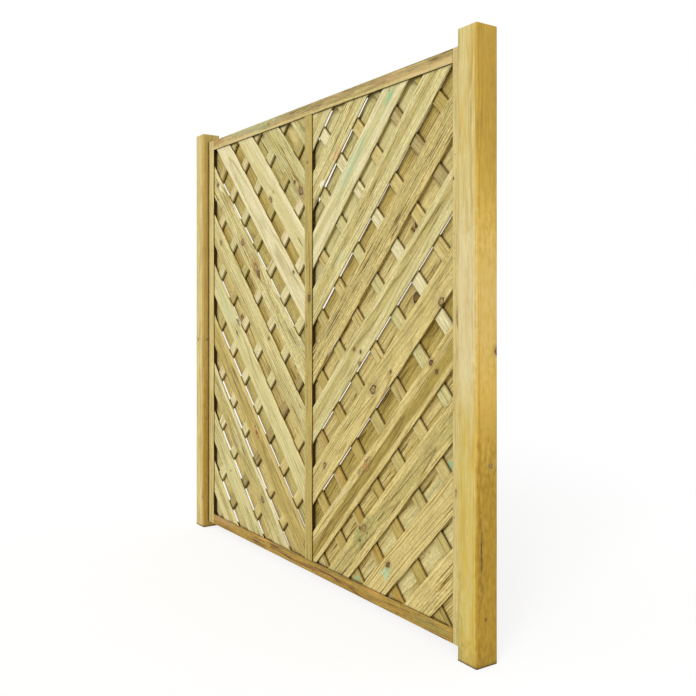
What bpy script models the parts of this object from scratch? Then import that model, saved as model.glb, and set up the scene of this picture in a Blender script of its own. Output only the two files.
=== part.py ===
"""Wooden chevron screen: a framed panel with a slat lattice in two bays, held between two square posts.

Metres, +Z up. The front faces -Y and +X runs to the right as seen from the front. The origin is on the
ground, midway between the posts and on the panel's middle plane, so the posts stand on Z = 0. The posts
stand a little forward of that plane.

Each bay holds three layers in the grooves of the frame: front slats, cross battens and back slats. The
slats slope down towards the mullion at 45 degrees, and the battens cross them at a right angle. A slat or
a batten is a planed board laid across the bay and trimmed by the bay's own block.
"""

import math

import bmesh
import bpy
from mathutils import Matrix, Vector

# Panel and posts
PANEL_WIDTH = 1.800
PANEL_HEIGHT = 1.800
POST_SECTION = 0.083
POST_ARRIS = 0.006
POST_RISE = 0.038
POST_DROP = 0.026
POST_ADVANCE = 0.003

# Frame members
FRAME_DEPTH = 0.034
FRAME_ARRIS = 0.002
STILE_WIDTH = 0.052
RAIL_HEIGHT = 0.044
MULLION_WIDTH = 0.052
MULLION_SHIFT = 0.008
GROOVE_DEPTH = 0.012

# Slats and battens
SLAT_WIDTH = 0.096
SLAT_THICKNESS = 0.006
SLAT_ARRIS = 0.0012
BATTEN_WIDTH = 0.045
BATTEN_THICKNESS = 0.012
BATTEN_ARRIS = 0.0010
BATTEN_BITE = 0.006

# Screws that hold each stile to its post
SCREW_LENGTH = 0.085
SCREW_RADIUS = 0.003
SCREW_HEAD_RADIUS = 0.006
SCREW_HEAD_HEIGHT = 0.0035
SCREW_TIP_LENGTH = 0.007
SCREW_END_INSET = 0.180

# Clearances: glued or touching faces, and the room that boards have to swell at their ends
JOINT_GAP = 0.0003
SWELL_GAP = 0.0010
TRIM_OVERRUN = 0.030

# Counts
SLATS_PER_BAY = 11
BATTENS_PER_BAY = 11
SCREWS_PER_STILE = 3
ARC_STEPS = 4
SLAT_ARC_STEPS = 1
SCREW_SIDES = 16

# Where the first board of each layer lies, as a share of one step
FRONT_FIRST_SHARE = 0.77
BACK_FIRST_SHARE = 0.27
BATTEN_FIRST_SHARE = 0.26

# How far each board was nailed from its even place, as a share of the gap beside it, outer corner first
FRONT_SLIP_SHARES = {
    "left": (-0.04, 0.02, -0.03, -0.08, -0.03, 0.02, -0.03, 0.08, -0.02, -0.02, 0.04),
    "right": (0.04, 0.09, 0.02, -0.08, 0.06, 0.11, 0.08, 0.04, -0.09, -0.13, -0.14),
}
BACK_SLIP_SHARES = {
    "left": (0.02, -0.01, 0.05, 0.00, -0.05, -0.03, -0.07, 0.00, -0.01, -0.11, -0.10),
    "right": (0.06, 0.11, 0.05, -0.06, -0.01, 0.03, 0.11, -0.04, -0.05, -0.22, -0.23),
}
BATTEN_SLIP_SHARES = {
    "left": (-0.02, 0.00, -0.08, -0.06, -0.12, -0.09, -0.08, -0.05, -0.04, -0.03, -0.15),
    "right": (0.04, 0.04, 0.02, 0.02, 0.04, 0.07, 0.13, 0.11, 0.02, -0.01, -0.03),
}

# Finishes: pressure-treated pine in a few tints, and plated steel
POST_TINT = (0.70, 0.57, 0.27)
FRAME_TINT = (0.60, 0.48, 0.21)
SLAT_TINTS = (
    (0.68, 0.62, 0.37),
    (0.62, 0.55, 0.29),
    (0.72, 0.64, 0.42),
    (0.57, 0.49, 0.24),
)
WOOD_ROUGHNESS = 0.75
STEEL_TINT = (0.62, 0.60, 0.52)
STEEL_ROUGHNESS = 0.35

# Derived sizes
POST_LENGTH = POST_DROP + PANEL_HEIGHT + POST_RISE
PANEL_TOP = POST_DROP + PANEL_HEIGHT
STILE_OUTER = PANEL_WIDTH / 2
STILE_INNER = STILE_OUTER - STILE_WIDTH
BAY_BASE = POST_DROP + RAIL_HEIGHT
BAY_HEIGHT = PANEL_HEIGHT - 2 * RAIL_HEIGHT
SLAT_OFFSET = BATTEN_THICKNESS / 2 + JOINT_GAP + SLAT_THICKNESS / 2
GROOVE_WIDTH = 2 * (SLAT_OFFSET + SLAT_THICKNESS / 2 + JOINT_GAP)
TENON_THICKNESS = GROOVE_WIDTH - 2 * JOINT_GAP
TENON_LENGTH = GROOVE_DEPTH - JOINT_GAP
SEAT_DEPTH = GROOVE_DEPTH - SWELL_GAP
WELD_DEPTH = GROOVE_DEPTH + BATTEN_BITE
MULLION_WEB = MULLION_WIDTH - 2 * GROOVE_DEPTH
SIDES = {"left": -1, "right": 1}


def clear_scene():
    """Remove every object, so the script can run in an open file."""
    for item in list(bpy.data.objects):
        bpy.data.objects.remove(item, do_unlink=True)


def make_material(name, tint, roughness, metallic):
    """One plain Principled material of the given linear colour."""
    material = bpy.data.materials.new(name)
    material.use_nodes = True
    shader = material.node_tree.nodes["Principled BSDF"]
    shader.inputs["Base Color"].default_value = (*tint, 1.0)
    shader.inputs["Roughness"].default_value = roughness
    shader.inputs["Metallic"].default_value = metallic
    return material


def place_object(name, mesh, tint=None, roughness=WOOD_ROUGHNESS, metallic=0.0):
    """Link a mesh as a named object. A shape with no tint is a hidden guide."""
    item = bpy.data.objects.new(name, mesh)
    bpy.context.collection.objects.link(item)
    if tint is None:
        item.hide_render = True
        item.display_type = "WIRE"
    else:
        item.data.materials.append(make_material(name, tint, roughness, metallic))
    return item


def combine(target, tool, operation):
    """Cut, join or trim the target by another object with an exact Boolean."""
    modifier = target.modifiers.new(f"{operation.lower()} {tool.name}", "BOOLEAN")
    modifier.operation = operation
    modifier.solver = "EXACT"
    modifier.object = tool


def corner_arc(corner, inward, radius, steps):
    """Points of a quarter arc that rounds one convex corner of an outline.

    corner is the sharp corner and inward the signs from it to the arc's centre. The points run from the
    arc's end beside the corner's first axis to its end beside the second.
    """
    centre = (corner[0] + inward[0] * radius, corner[1] + inward[1] * radius)
    points = []
    for step in range(steps + 1):
        angle = math.pi / 2 * step / steps
        points.append((
            centre[0] - inward[0] * radius * math.cos(angle),
            centre[1] - inward[1] * radius * math.sin(angle),
        ))
    return points


def rounded_outline(width, depth, radius, steps):
    """Rectangle outline about the origin with its four corners rounded."""
    x, y = width / 2, depth / 2
    return (
        corner_arc((-x, -y), (1, 1), radius, steps)
        + corner_arc((x, -y), (-1, 1), radius, steps)[::-1]
        + corner_arc((x, y), (-1, -1), radius, steps)
        + corner_arc((-x, y), (1, -1), radius, steps)[::-1]
    )


def grooved_outline(width, both_sides):
    """Section of a frame member: rounded outer arrises and a lattice groove in one or both edges.

    The first coordinate runs across the member from edge to edge and the second through its depth. A
    single groove lies in the edge at +width / 2.
    """
    x, y = width / 2, FRAME_DEPTH / 2
    lip, floor = GROOVE_WIDTH / 2, width / 2 - GROOVE_DEPTH
    near_groove = [(-x, lip), (-floor, lip), (-floor, -lip), (-x, -lip)] if both_sides else []
    return (
        corner_arc((-x, -y), (1, 1), FRAME_ARRIS, ARC_STEPS)
        + corner_arc((x, -y), (-1, 1), FRAME_ARRIS, ARC_STEPS)[::-1]
        + [(x, -lip), (floor, -lip), (floor, lip), (x, lip)]
        + corner_arc((x, y), (-1, -1), FRAME_ARRIS, ARC_STEPS)
        + corner_arc((-x, y), (1, -1), FRAME_ARRIS, ARC_STEPS)[::-1]
        + near_groove
    )


def extrude_outline(name, outline, length, across, through, along):
    """Closed prism of an outline, centred on its length.

    across and through are the directions of the outline's two coordinates, and along is the direction of
    the length.
    """
    half = Vector(along) * (length / 2)
    shape = bmesh.new()
    ring = [shape.verts.new(Vector(across) * a + Vector(through) * b - half) for a, b in outline]
    face = shape.faces.new(ring)
    grown = bmesh.ops.extrude_face_region(shape, geom=[face])
    moved = [part for part in grown["geom"] if isinstance(part, bmesh.types.BMVert)]
    bmesh.ops.translate(shape, vec=half * 2, verts=moved)
    bmesh.ops.recalc_face_normals(shape, faces=shape.faces)
    mesh = bpy.data.meshes.new(name)
    shape.to_mesh(mesh)
    shape.free()
    return mesh


def block_mesh(name, size):
    """Plain box about the origin."""
    shape = bmesh.new()
    bmesh.ops.create_cube(shape, size=1.0, matrix=Matrix.Diagonal((*size, 1.0)))
    mesh = bpy.data.meshes.new(name)
    shape.to_mesh(mesh)
    shape.free()
    return mesh


def block_between(name, low, high):
    """Hidden guide box between two opposite corners."""
    low, high = Vector(low), Vector(high)
    guide = place_object(name, block_mesh(name, high - low))
    guide.location = (low + high) / 2
    return guide


def screw_mesh(name, clearance):
    """Countersunk screw turned about +X, its head's face at the origin, grown by a clearance."""
    head = SCREW_HEAD_RADIUS + clearance
    shank = SCREW_RADIUS + clearance
    start = -clearance
    neck = SCREW_HEAD_HEIGHT
    tip = SCREW_LENGTH + clearance
    profile = (
        (start, 0.0),
        (start, head),
        (neck, shank),
        (tip - SCREW_TIP_LENGTH, shank),
        (tip, 0.0),
    )
    shape = bmesh.new()
    line = [shape.verts.new((x, radius, 0.0)) for x, radius in profile]
    edges = [shape.edges.new(pair) for pair in zip(line, line[1:])]
    bmesh.ops.spin(
        shape,
        geom=line + edges,
        axis=(1.0, 0.0, 0.0),
        cent=(0.0, 0.0, 0.0),
        angle=math.tau,
        steps=SCREW_SIDES,
        use_merge=True,
    )
    bmesh.ops.remove_doubles(shape, verts=shape.verts, dist=JOINT_GAP / 10)
    bmesh.ops.recalc_face_normals(shape, faces=shape.faces)
    mesh = bpy.data.meshes.new(name)
    shape.to_mesh(mesh)
    shape.free()
    return mesh


def screw_heights():
    """Heights of the screws in a stile, evenly spaced between the two end ones."""
    first = POST_DROP + SCREW_END_INSET
    last = PANEL_TOP - SCREW_END_INSET
    return [first + (last - first) * index / (SCREWS_PER_STILE - 1) for index in range(SCREWS_PER_STILE)]


def build_post(side):
    """Square post with rounded arrises, standing beside its stile."""
    outline = rounded_outline(POST_SECTION, POST_SECTION, POST_ARRIS, ARC_STEPS)
    name = f"{side}_post"
    mesh = extrude_outline(name, outline, POST_LENGTH, (1, 0, 0), (0, 1, 0), (0, 0, 1))
    post = place_object(name, mesh, POST_TINT)
    reach = STILE_OUTER + JOINT_GAP + POST_SECTION / 2
    post.location = (SIDES[side] * reach, -POST_ADVANCE, POST_LENGTH / 2)
    return post


def build_stile(side):
    """Full-height frame side, grooved along the edge that faces the bay."""
    name = f"{side}_stile"
    inward = (-SIDES[side], 0, 0)
    mesh = extrude_outline(
        name, grooved_outline(STILE_WIDTH, False), PANEL_HEIGHT, inward, (0, 1, 0), (0, 0, 1)
    )
    stile = place_object(name, mesh, FRAME_TINT)
    stile.location = (SIDES[side] * (STILE_OUTER - STILE_WIDTH / 2), 0.0, POST_DROP + PANEL_HEIGHT / 2)
    return stile


def build_rail(name, outer_z, inward):
    """Rail between the stiles, grooved towards the bays, with a stub tenon at each end.

    The groove takes the inner part of the tenon away, so the tenon reaches from the rail's outer face to
    the groove's floor, and it fills the stile's groove from front to back.
    """
    length = 2 * (STILE_INNER - JOINT_GAP)
    mesh = extrude_outline(
        name, grooved_outline(RAIL_HEIGHT, False), length, (0, 0, inward), (0, 1, 0), (1, 0, 0)
    )
    rail = place_object(name, mesh, FRAME_TINT)
    rail.location = (0.0, 0.0, outer_z + inward * RAIL_HEIGHT / 2)
    heights = sorted((outer_z + inward * FRAME_ARRIS, outer_z + inward * (RAIL_HEIGHT - GROOVE_DEPTH)))
    for side, sign in SIDES.items():
        ends = sorted((sign * (STILE_INNER - TENON_LENGTH), sign * (STILE_INNER + TENON_LENGTH)))
        tenon = block_between(
            f"{name}_{side}_tenon",
            (ends[0], -TENON_THICKNESS / 2, heights[0]),
            (ends[1], TENON_THICKNESS / 2, heights[1]),
        )
        combine(rail, tenon, "UNION")
    return rail


def build_mullion():
    """Middle upright, grooved on both edges, with a stub tenon into each rail."""
    length = BAY_HEIGHT - 2 * JOINT_GAP
    mesh = extrude_outline(
        "mullion", grooved_outline(MULLION_WIDTH, True), length, (1, 0, 0), (0, 1, 0), (0, 0, 1)
    )
    mullion = place_object("mullion", mesh, FRAME_TINT)
    mullion.location = (MULLION_SHIFT, 0.0, BAY_BASE + BAY_HEIGHT / 2)
    half_width = MULLION_WEB / 2 - JOINT_GAP
    half_depth = TENON_THICKNESS / 2 - JOINT_GAP
    tenon = block_between(
        "mullion_tenons",
        (MULLION_SHIFT - half_width, -half_depth, BAY_BASE - TENON_LENGTH),
        (MULLION_SHIFT + half_width, half_depth, BAY_BASE + BAY_HEIGHT + TENON_LENGTH),
    )
    combine(mullion, tenon, "UNION")
    return mullion


class Bay:
    """One opening of the frame, between a stile and the mullion.

    Places inside it are measured from its lower corners along the line at 45 degrees, so that one step is
    the same for the slats, counted from the outer corner, and the battens, counted from the mullion.
    """

    def __init__(self, side):
        self.side = side
        self.sign = SIDES[side]
        self.outer = self.sign * STILE_INNER
        self.inner = MULLION_SHIFT + self.sign * MULLION_WIDTH / 2
        self.width = abs(self.outer - self.inner)
        self.reach = (self.width + BAY_HEIGHT) / math.sqrt(2)

    def block(self, name, inner_seat, top_seat):
        """Hidden block that trims the boards: the opening, grown into the grooves around it."""
        ends = sorted((self.outer + self.sign * SEAT_DEPTH, self.inner - self.sign * inner_seat))
        return block_between(
            f"{self.side}_{name}",
            (ends[0], -FRAME_DEPTH, BAY_BASE - SEAT_DEPTH),
            (ends[1], FRAME_DEPTH, BAY_BASE + BAY_HEIGHT + top_seat),
        )

    def places(self, count, first_share, slip_shares, width):
        """Distances of the boards' centre lines from the corner that they are counted from."""
        step = self.reach / count
        gap = step - width
        return [step * (index + first_share) + gap * slip_shares[index] for index in range(count)]

    def board(self, name, outline, distance, depth, corner_x, outward, tint):
        """Board laid at 45 degrees, its centre line at a distance from one lower corner of the bay.

        outward is the sign of X that leads away from the corner, into the bay.
        """
        away = Vector((outward, 0, 1)).normalized()
        along = Vector((outward, 0, -1)).normalized()
        length = 2 * (self.width + BAY_HEIGHT) + TRIM_OVERRUN
        item = place_object(name, extrude_outline(name, outline, length, away, (0, 1, 0), along), tint)
        item.location = Vector((corner_x, depth, BAY_BASE)) + away * distance
        return item


def build_slats(bay, layer, depth, first_share, slip_shares):
    """The slats of one face of a bay, each trimmed into the grooves."""
    outline = rounded_outline(SLAT_WIDTH, SLAT_THICKNESS, SLAT_ARRIS, SLAT_ARC_STEPS)
    block = bay.block(f"{layer}_block", SEAT_DEPTH, SEAT_DEPTH)
    for index, distance in enumerate(bay.places(SLATS_PER_BAY, first_share, slip_shares, SLAT_WIDTH)):
        tint = SLAT_TINTS[(index + (bay.sign > 0)) % len(SLAT_TINTS)]
        name = f"{bay.side}_{layer}_slat_{index + 1:02d}"
        slat = bay.board(name, outline, distance, depth, bay.outer, -bay.sign, tint)
        combine(slat, block, "INTERSECT")


def build_battens(bay, mullion, top_rail):
    """The cross battens of a bay, each fused with the member that its upper end is fixed to.

    A batten whose centre line meets the mullion belongs to the mullion, and the others to the top rail.
    """
    outline = rounded_outline(BATTEN_WIDTH, BATTEN_THICKNESS, BATTEN_ARRIS, SLAT_ARC_STEPS)
    mullion_block = bay.block("mullion_batten_block", WELD_DEPTH, SEAT_DEPTH)
    rail_block = bay.block("rail_batten_block", SEAT_DEPTH, WELD_DEPTH)
    shares = BATTEN_SLIP_SHARES[bay.side]
    corner = BAY_HEIGHT / math.sqrt(2)
    for index, distance in enumerate(bay.places(BATTENS_PER_BAY, BATTEN_FIRST_SHARE, shares, BATTEN_WIDTH)):
        name = f"{bay.side}_batten_{index + 1:02d}"
        batten = bay.board(name, outline, distance, 0.0, bay.inner, bay.sign, None)
        on_mullion = distance < corner
        combine(batten, mullion_block if on_mullion else rail_block, "INTERSECT")
        combine(mullion if on_mullion else top_rail, batten, "UNION")


def build_screws(side, stile, post):
    """Countersunk screws from the floor of the stile's groove into the post, with their holes."""
    head_x = STILE_INNER + GROOVE_DEPTH + JOINT_GAP
    for index, height in enumerate(screw_heights()):
        name = f"{side}_screw_{index + 1}"
        screw = place_object(name, screw_mesh(name, 0.0), STEEL_TINT, STEEL_ROUGHNESS, 1.0)
        hole = place_object(f"{name}_hole", screw_mesh(f"{name}_hole", JOINT_GAP))
        for item in (screw, hole):
            item.location = (SIDES[side] * head_x, 0.0, height)
            item.rotation_euler = (0.0, 0.0, 0.0 if SIDES[side] > 0 else math.pi)
        combine(stile, hole, "DIFFERENCE")
        combine(post, hole, "DIFFERENCE")


def main():
    """Build the posts, the frame, the lattice of both bays and the screws."""
    clear_scene()
    top_rail = build_rail("top_rail", PANEL_TOP, -1)
    build_rail("bottom_rail", POST_DROP, 1)
    mullion = build_mullion()
    for side in SIDES:
        post = build_post(side)
        stile = build_stile(side)
        build_screws(side, stile, post)
        bay = Bay(side)
        build_slats(bay, "front", -SLAT_OFFSET, FRONT_FIRST_SHARE, FRONT_SLIP_SHARES[side])
        build_slats(bay, "back", SLAT_OFFSET, BACK_FIRST_SHARE, BACK_SLIP_SHARES[side])
        build_battens(bay, mullion, top_rail)


main()
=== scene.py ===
"""Wooden chevron trellis panel: the dressed model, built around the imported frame.

Two square posts carry a grooved pine frame with a middle upright. Each of its two bays holds front slats,
cross battens and back slats, and the slats slope down to the middle upright. Every board is a surface of
its own with eased arrises, and its finish is one board of pressure-treated pine with its own grain,
knots, cracks and stains.
"""

import logging
import math
import zlib
from collections.abc import Callable
from dataclasses import dataclass
from enum import Enum
from functools import partial

import bmesh
import bpy
import numpy as np
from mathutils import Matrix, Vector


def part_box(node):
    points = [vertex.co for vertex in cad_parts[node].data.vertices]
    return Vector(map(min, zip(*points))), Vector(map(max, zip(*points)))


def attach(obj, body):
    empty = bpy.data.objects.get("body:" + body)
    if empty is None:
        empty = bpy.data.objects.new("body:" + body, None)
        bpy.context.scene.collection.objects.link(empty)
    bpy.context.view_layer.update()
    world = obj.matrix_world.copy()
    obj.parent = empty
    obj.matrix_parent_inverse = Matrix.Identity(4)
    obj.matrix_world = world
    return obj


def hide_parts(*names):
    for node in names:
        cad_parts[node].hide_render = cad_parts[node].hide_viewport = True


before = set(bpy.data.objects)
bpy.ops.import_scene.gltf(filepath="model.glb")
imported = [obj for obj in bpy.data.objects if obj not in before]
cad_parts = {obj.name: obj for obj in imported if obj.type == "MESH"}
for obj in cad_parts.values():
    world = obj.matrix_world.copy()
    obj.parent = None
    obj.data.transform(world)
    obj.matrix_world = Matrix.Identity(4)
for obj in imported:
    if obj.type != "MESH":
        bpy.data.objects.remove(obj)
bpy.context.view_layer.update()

Item = bpy.types.Object
Material = bpy.types.Material
Tree = bpy.types.NodeTree
Node = bpy.types.Node
Socket = bpy.types.NodeSocket
Point = tuple[float, float, float]

LOG = logging.getLogger("trellis")
MM = 0.001
BODY = "root"
ROOT_TWO = math.sqrt(2.0)
# X of the panel's left edge, in millimetres.
PANEL_LEFT = -900.0
MERGE_DISTANCE = 2e-6
SHARP_ANGLE = math.radians(38.0)
GROOVE_DEPTH = 0.012
GROOVE_WIDTH = 0.0252
WOOD_IOR = 1.5
WHITE = (1.0, 1.0, 1.0, 1.0)

# Colours and nodes

# The property that holds each kind of node's main option.
OPTION_NAMES = {
    "Math": "operation", "VectorMath": "operation", "Mix": "data_type", "MapRange": "interpolation_type",
    "TexNoise": "noise_dimensions", "TexWhiteNoise": "noise_dimensions",
}


def hex_linear(code: str) -> tuple[float, ...]:
    """Turn an sRGB hex colour into the linear colour that the shader works in.

    Args:
        code: Six hex digits, red, green and blue.

    Returns:
        Linear red, green, blue and an alpha of 1.
    """
    srgb = np.array([int(code[start:start + 2], 16) for start in (0, 2, 4)]) / 255.0
    linear = np.where(srgb <= 0.04045, srgb / 12.92, ((srgb + 0.055) / 1.055) ** 2.4)
    return (*linear.tolist(), 1.0)


def first_output(node: Node) -> Socket:
    """The first live output of a node."""
    return next(out for out in node.outputs if out.enabled)


def add_node(tree: Tree, kind: str, *values, sockets: dict | None = None, **settings) -> Node:
    """Add a node with its settings, and set or link its inputs.

    Args:
        tree: The node tree that gets the node.
        kind: The node's type without its ShaderNode prefix, and its main option after a space.
        values: What the live inputs get, in their order. A node stands for its first live output.
        sockets: More inputs by name.
        settings: The node's other properties.

    Returns:
        The new node.
    """
    kind, _, option = kind.partition(" ")
    node = tree.nodes.new("ShaderNode" + kind)
    if option:
        settings[OPTION_NAMES[kind]] = option
    for key, value in settings.items():
        setattr(node, key, value)
    live = [socket for socket in node.inputs if socket.enabled]
    named = [(node.inputs[key], value) for key, value in (sockets or {}).items()]
    for socket, value in list(zip(live, values)) + named:
        if isinstance(value, Node):
            value = first_output(value)
        if isinstance(value, Socket):
            tree.links.new(value, socket)
        else:
            socket.default_value = value
    return node


def clear_tree(owner: Material | bpy.types.World) -> Tree:
    """Empty a node tree.

    Args:
        owner: The material or world that has it.

    Returns:
        The empty tree.
    """
    owner.use_nodes = True
    owner.node_tree.nodes.clear()
    return owner.node_tree


def surface(name: str, build: Callable[[Callable[..., Node], Socket], dict], **constants: float) -> Material:
    """Make a material with one principled shader.

    Args:
        name: The material's name.
        build: Adds the nodes that drive the shader. It gets the function that adds a node to the
            material and the point in object coordinates, and returns the shader's inputs by name.
        constants: The shader's constant inputs by name, with an underscore for each space.

    Returns:
        The material.
    """
    made = bpy.data.materials.new(name)
    node = partial(add_node, clear_tree(made))
    driven = build(node, node("TexCoord").outputs["Object"])
    fixed = {key.replace("_", " "): value for key, value in constants.items()}
    node("OutputMaterial", node("BsdfPrincipled", sockets=driven | fixed))
    return made


class Group:
    """A node group in the making."""

    def __init__(self, name: str, inputs: str, outputs: str) -> None:
        """Start the group with its sockets.

        Args:
            name: The group's name.
            inputs: Name and kind (Float, Vector or Color) of each input, with a colon between them.
            outputs: Name and kind of each output, in the same way.
        """
        self.tree = bpy.data.node_groups.new(name, "ShaderNodeTree")
        for direction, listed in (("INPUT", inputs), ("OUTPUT", outputs)):
            for label, kind in (pair.split(":") for pair in listed.split()):
                self.tree.interface.new_socket(label, in_out=direction, socket_type="NodeSocket" + kind)
        self.given = self.tree.nodes.new("NodeGroupInput").outputs[:len(inputs.split())]
        self.node = partial(add_node, self.tree)

    def close(self, *values: Node) -> Tree:
        """Link the group's outputs.

        Args:
            values: The node whose first live output each of them gets, in their order.

        Returns:
            The finished group.
        """
        for socket, node in zip(self.tree.nodes.new("NodeGroupOutput").inputs, values):
            self.tree.links.new(first_output(node), socket)
        return self.tree


def add_seen_rays(tree: Tree) -> Node:
    """Add the nodes that tell camera, mirror and glass rays from the rays that only carry light.

    Args:
        tree: The node tree that gets them.

    Returns:
        The node whose value is 1 for a ray through which the surface is seen.
    """
    rays = add_node(tree, "LightPath").outputs
    direct = add_node(tree, "Math MAXIMUM", rays["Is Camera Ray"], rays["Is Glossy Ray"])
    return add_node(tree, "Math MAXIMUM", direct, rays["Is Transmission Ray"])


# Pine: its tones, marks and boards


class Tone(Enum):
    """Colours of treated pine: the pale early wood and the late wood lines of one board."""

    CREAM = ("E2D7A8", "B8A868")
    PALE = ("D8CB90", "AA9854")
    SAGE = ("CEC489", "998D4C")
    HONEY = ("D0BC7A", "98803E")
    OLIVE = ("BEAE6A", "887438")
    FAWN = ("B8A258", "7E6628")
    UMBER = ("A69044", "6C541E")
    ROSE = ("DDCE9F", "AA945C")
    STRAW = ("D5C17E", "AA924C")
    AMBER = ("B29446", "7E5E20")
    OCHRE = ("CBA744", "A07E2C")
    TAUPE = ("A6925A", "6E5A2C")
    RUSSET = ("A8863A", "74521C")


class KnotColour(Enum):
    """Colours of a knot: its inside and its rim."""

    RED = ("A4703E", "63401C")
    DARK = ("8E6C32", "261A0A")
    LIGHT = ("B89A58", "6E5226")
    RING = ("B49A60", "3A2A12")


class Stain(Enum):
    """Colours of stains from the green treatment, resin, cracks, torn places and sapwood."""

    TEAL = "86BE94"
    MINT = "B2D0A6"
    GREEN = "C8D2A0"
    MOSS = "7F8A4C"
    ORANGE = "D0924E"
    ROSY = "B8906A"
    CRACK = "38280E"
    WANE = "7A602A"
    CHALK = "EFE8CC"
    RESIN = "A07818"
    LEMON = "C6AC34"
    TAN = "E6C060"
    BUFF = "D8C084"


CREAM, PALE, SAGE, HONEY, OLIVE, FAWN, UMBER, ROSE, STRAW, AMBER, OCHRE, TAUPE, RUSSET = Tone
RED, DARK, LIGHT, RING = KnotColour
TEAL, MINT, GREEN, MOSS, ORANGE, ROSY, CRACK, WANE, CHALK, RESIN, LEMON, TAN, BUFF = Stain


@dataclass(frozen=True)
class Knot:
    """A knot, placed by its point on the panel's face.

    Attributes:
        x: Millimetres from the panel's left edge.
        z: Millimetres above the ground.
        radius: Its radius across the grain, in millimetres.
        colour: Its colours.
        y: Millimetres behind the panel's middle plane, for a knot on the side of a thick piece.
        weights: How much each direction counts in the distance from it: across, through and along.
    """

    x: float
    z: float
    radius: float
    colour: KnotColour = RED
    y: float = 0
    weights: Point = (1, 0, 0.75)


@dataclass(frozen=True)
class Patch:
    """A stain, crack or torn place, placed as a knot is.

    Attributes:
        x: Millimetres from the panel's left edge.
        z: Millimetres above the ground.
        half_width: Half its size across the grain.
        half_length: Half its size along the grain.
        colour: Its colour.
        strength: How much it covers, from 0 to 1.
        ragged: How uneven its outline is.
        y: As for a knot.
        weights: As for a knot.
    """

    x: float
    z: float
    half_width: float
    half_length: float
    colour: Stain = CRACK
    strength: float = 1
    ragged: float = 0.5
    y: float = 0
    weights: Point = (1, 0, 1)


@dataclass(frozen=True)
class Look:
    """The figure of one board.

    Attributes:
        tone: The board's main colours.
        heart: The colours of its lengthwise band.
        heart_at: Where the band runs, in millimetres from the centre line, positive to the right or up.
        heart_width: Half the band's width.
        heart_mix: How much the band shows, from 0 to 1.
        pith: Where the log's centre lay, in millimetres across from the centre line.
        depth: How far behind the face the log's centre lay, in millimetres.
        drift: How much that depth changes along the board, in millimetres for each millimetre.
        ring: The width of a growth ring. Real ones are 2 to 6 mm, which is too fine to show, so they are
            drawn 7 to 11 mm wide.
        contrast: How strong the late wood lines are.
        hairs: How strong the groups of thin dark lines and the fine mottling are.
        slope: How far the band drifts across for each millimetre along.
        marks: Its knots, stains, cracks and torn places. The knots lie over the rest.
    """

    tone: Tone
    heart: Tone
    heart_at: float = 0
    heart_width: float = 24
    heart_mix: float = 0.5
    pith: float = 0
    depth: float = 45
    drift: float = 0.02
    ring: float = 9
    contrast: float = 0.6
    hairs: float = 0.6
    slope: float = 0
    marks: tuple[Knot | Patch, ...] = ()


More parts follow.
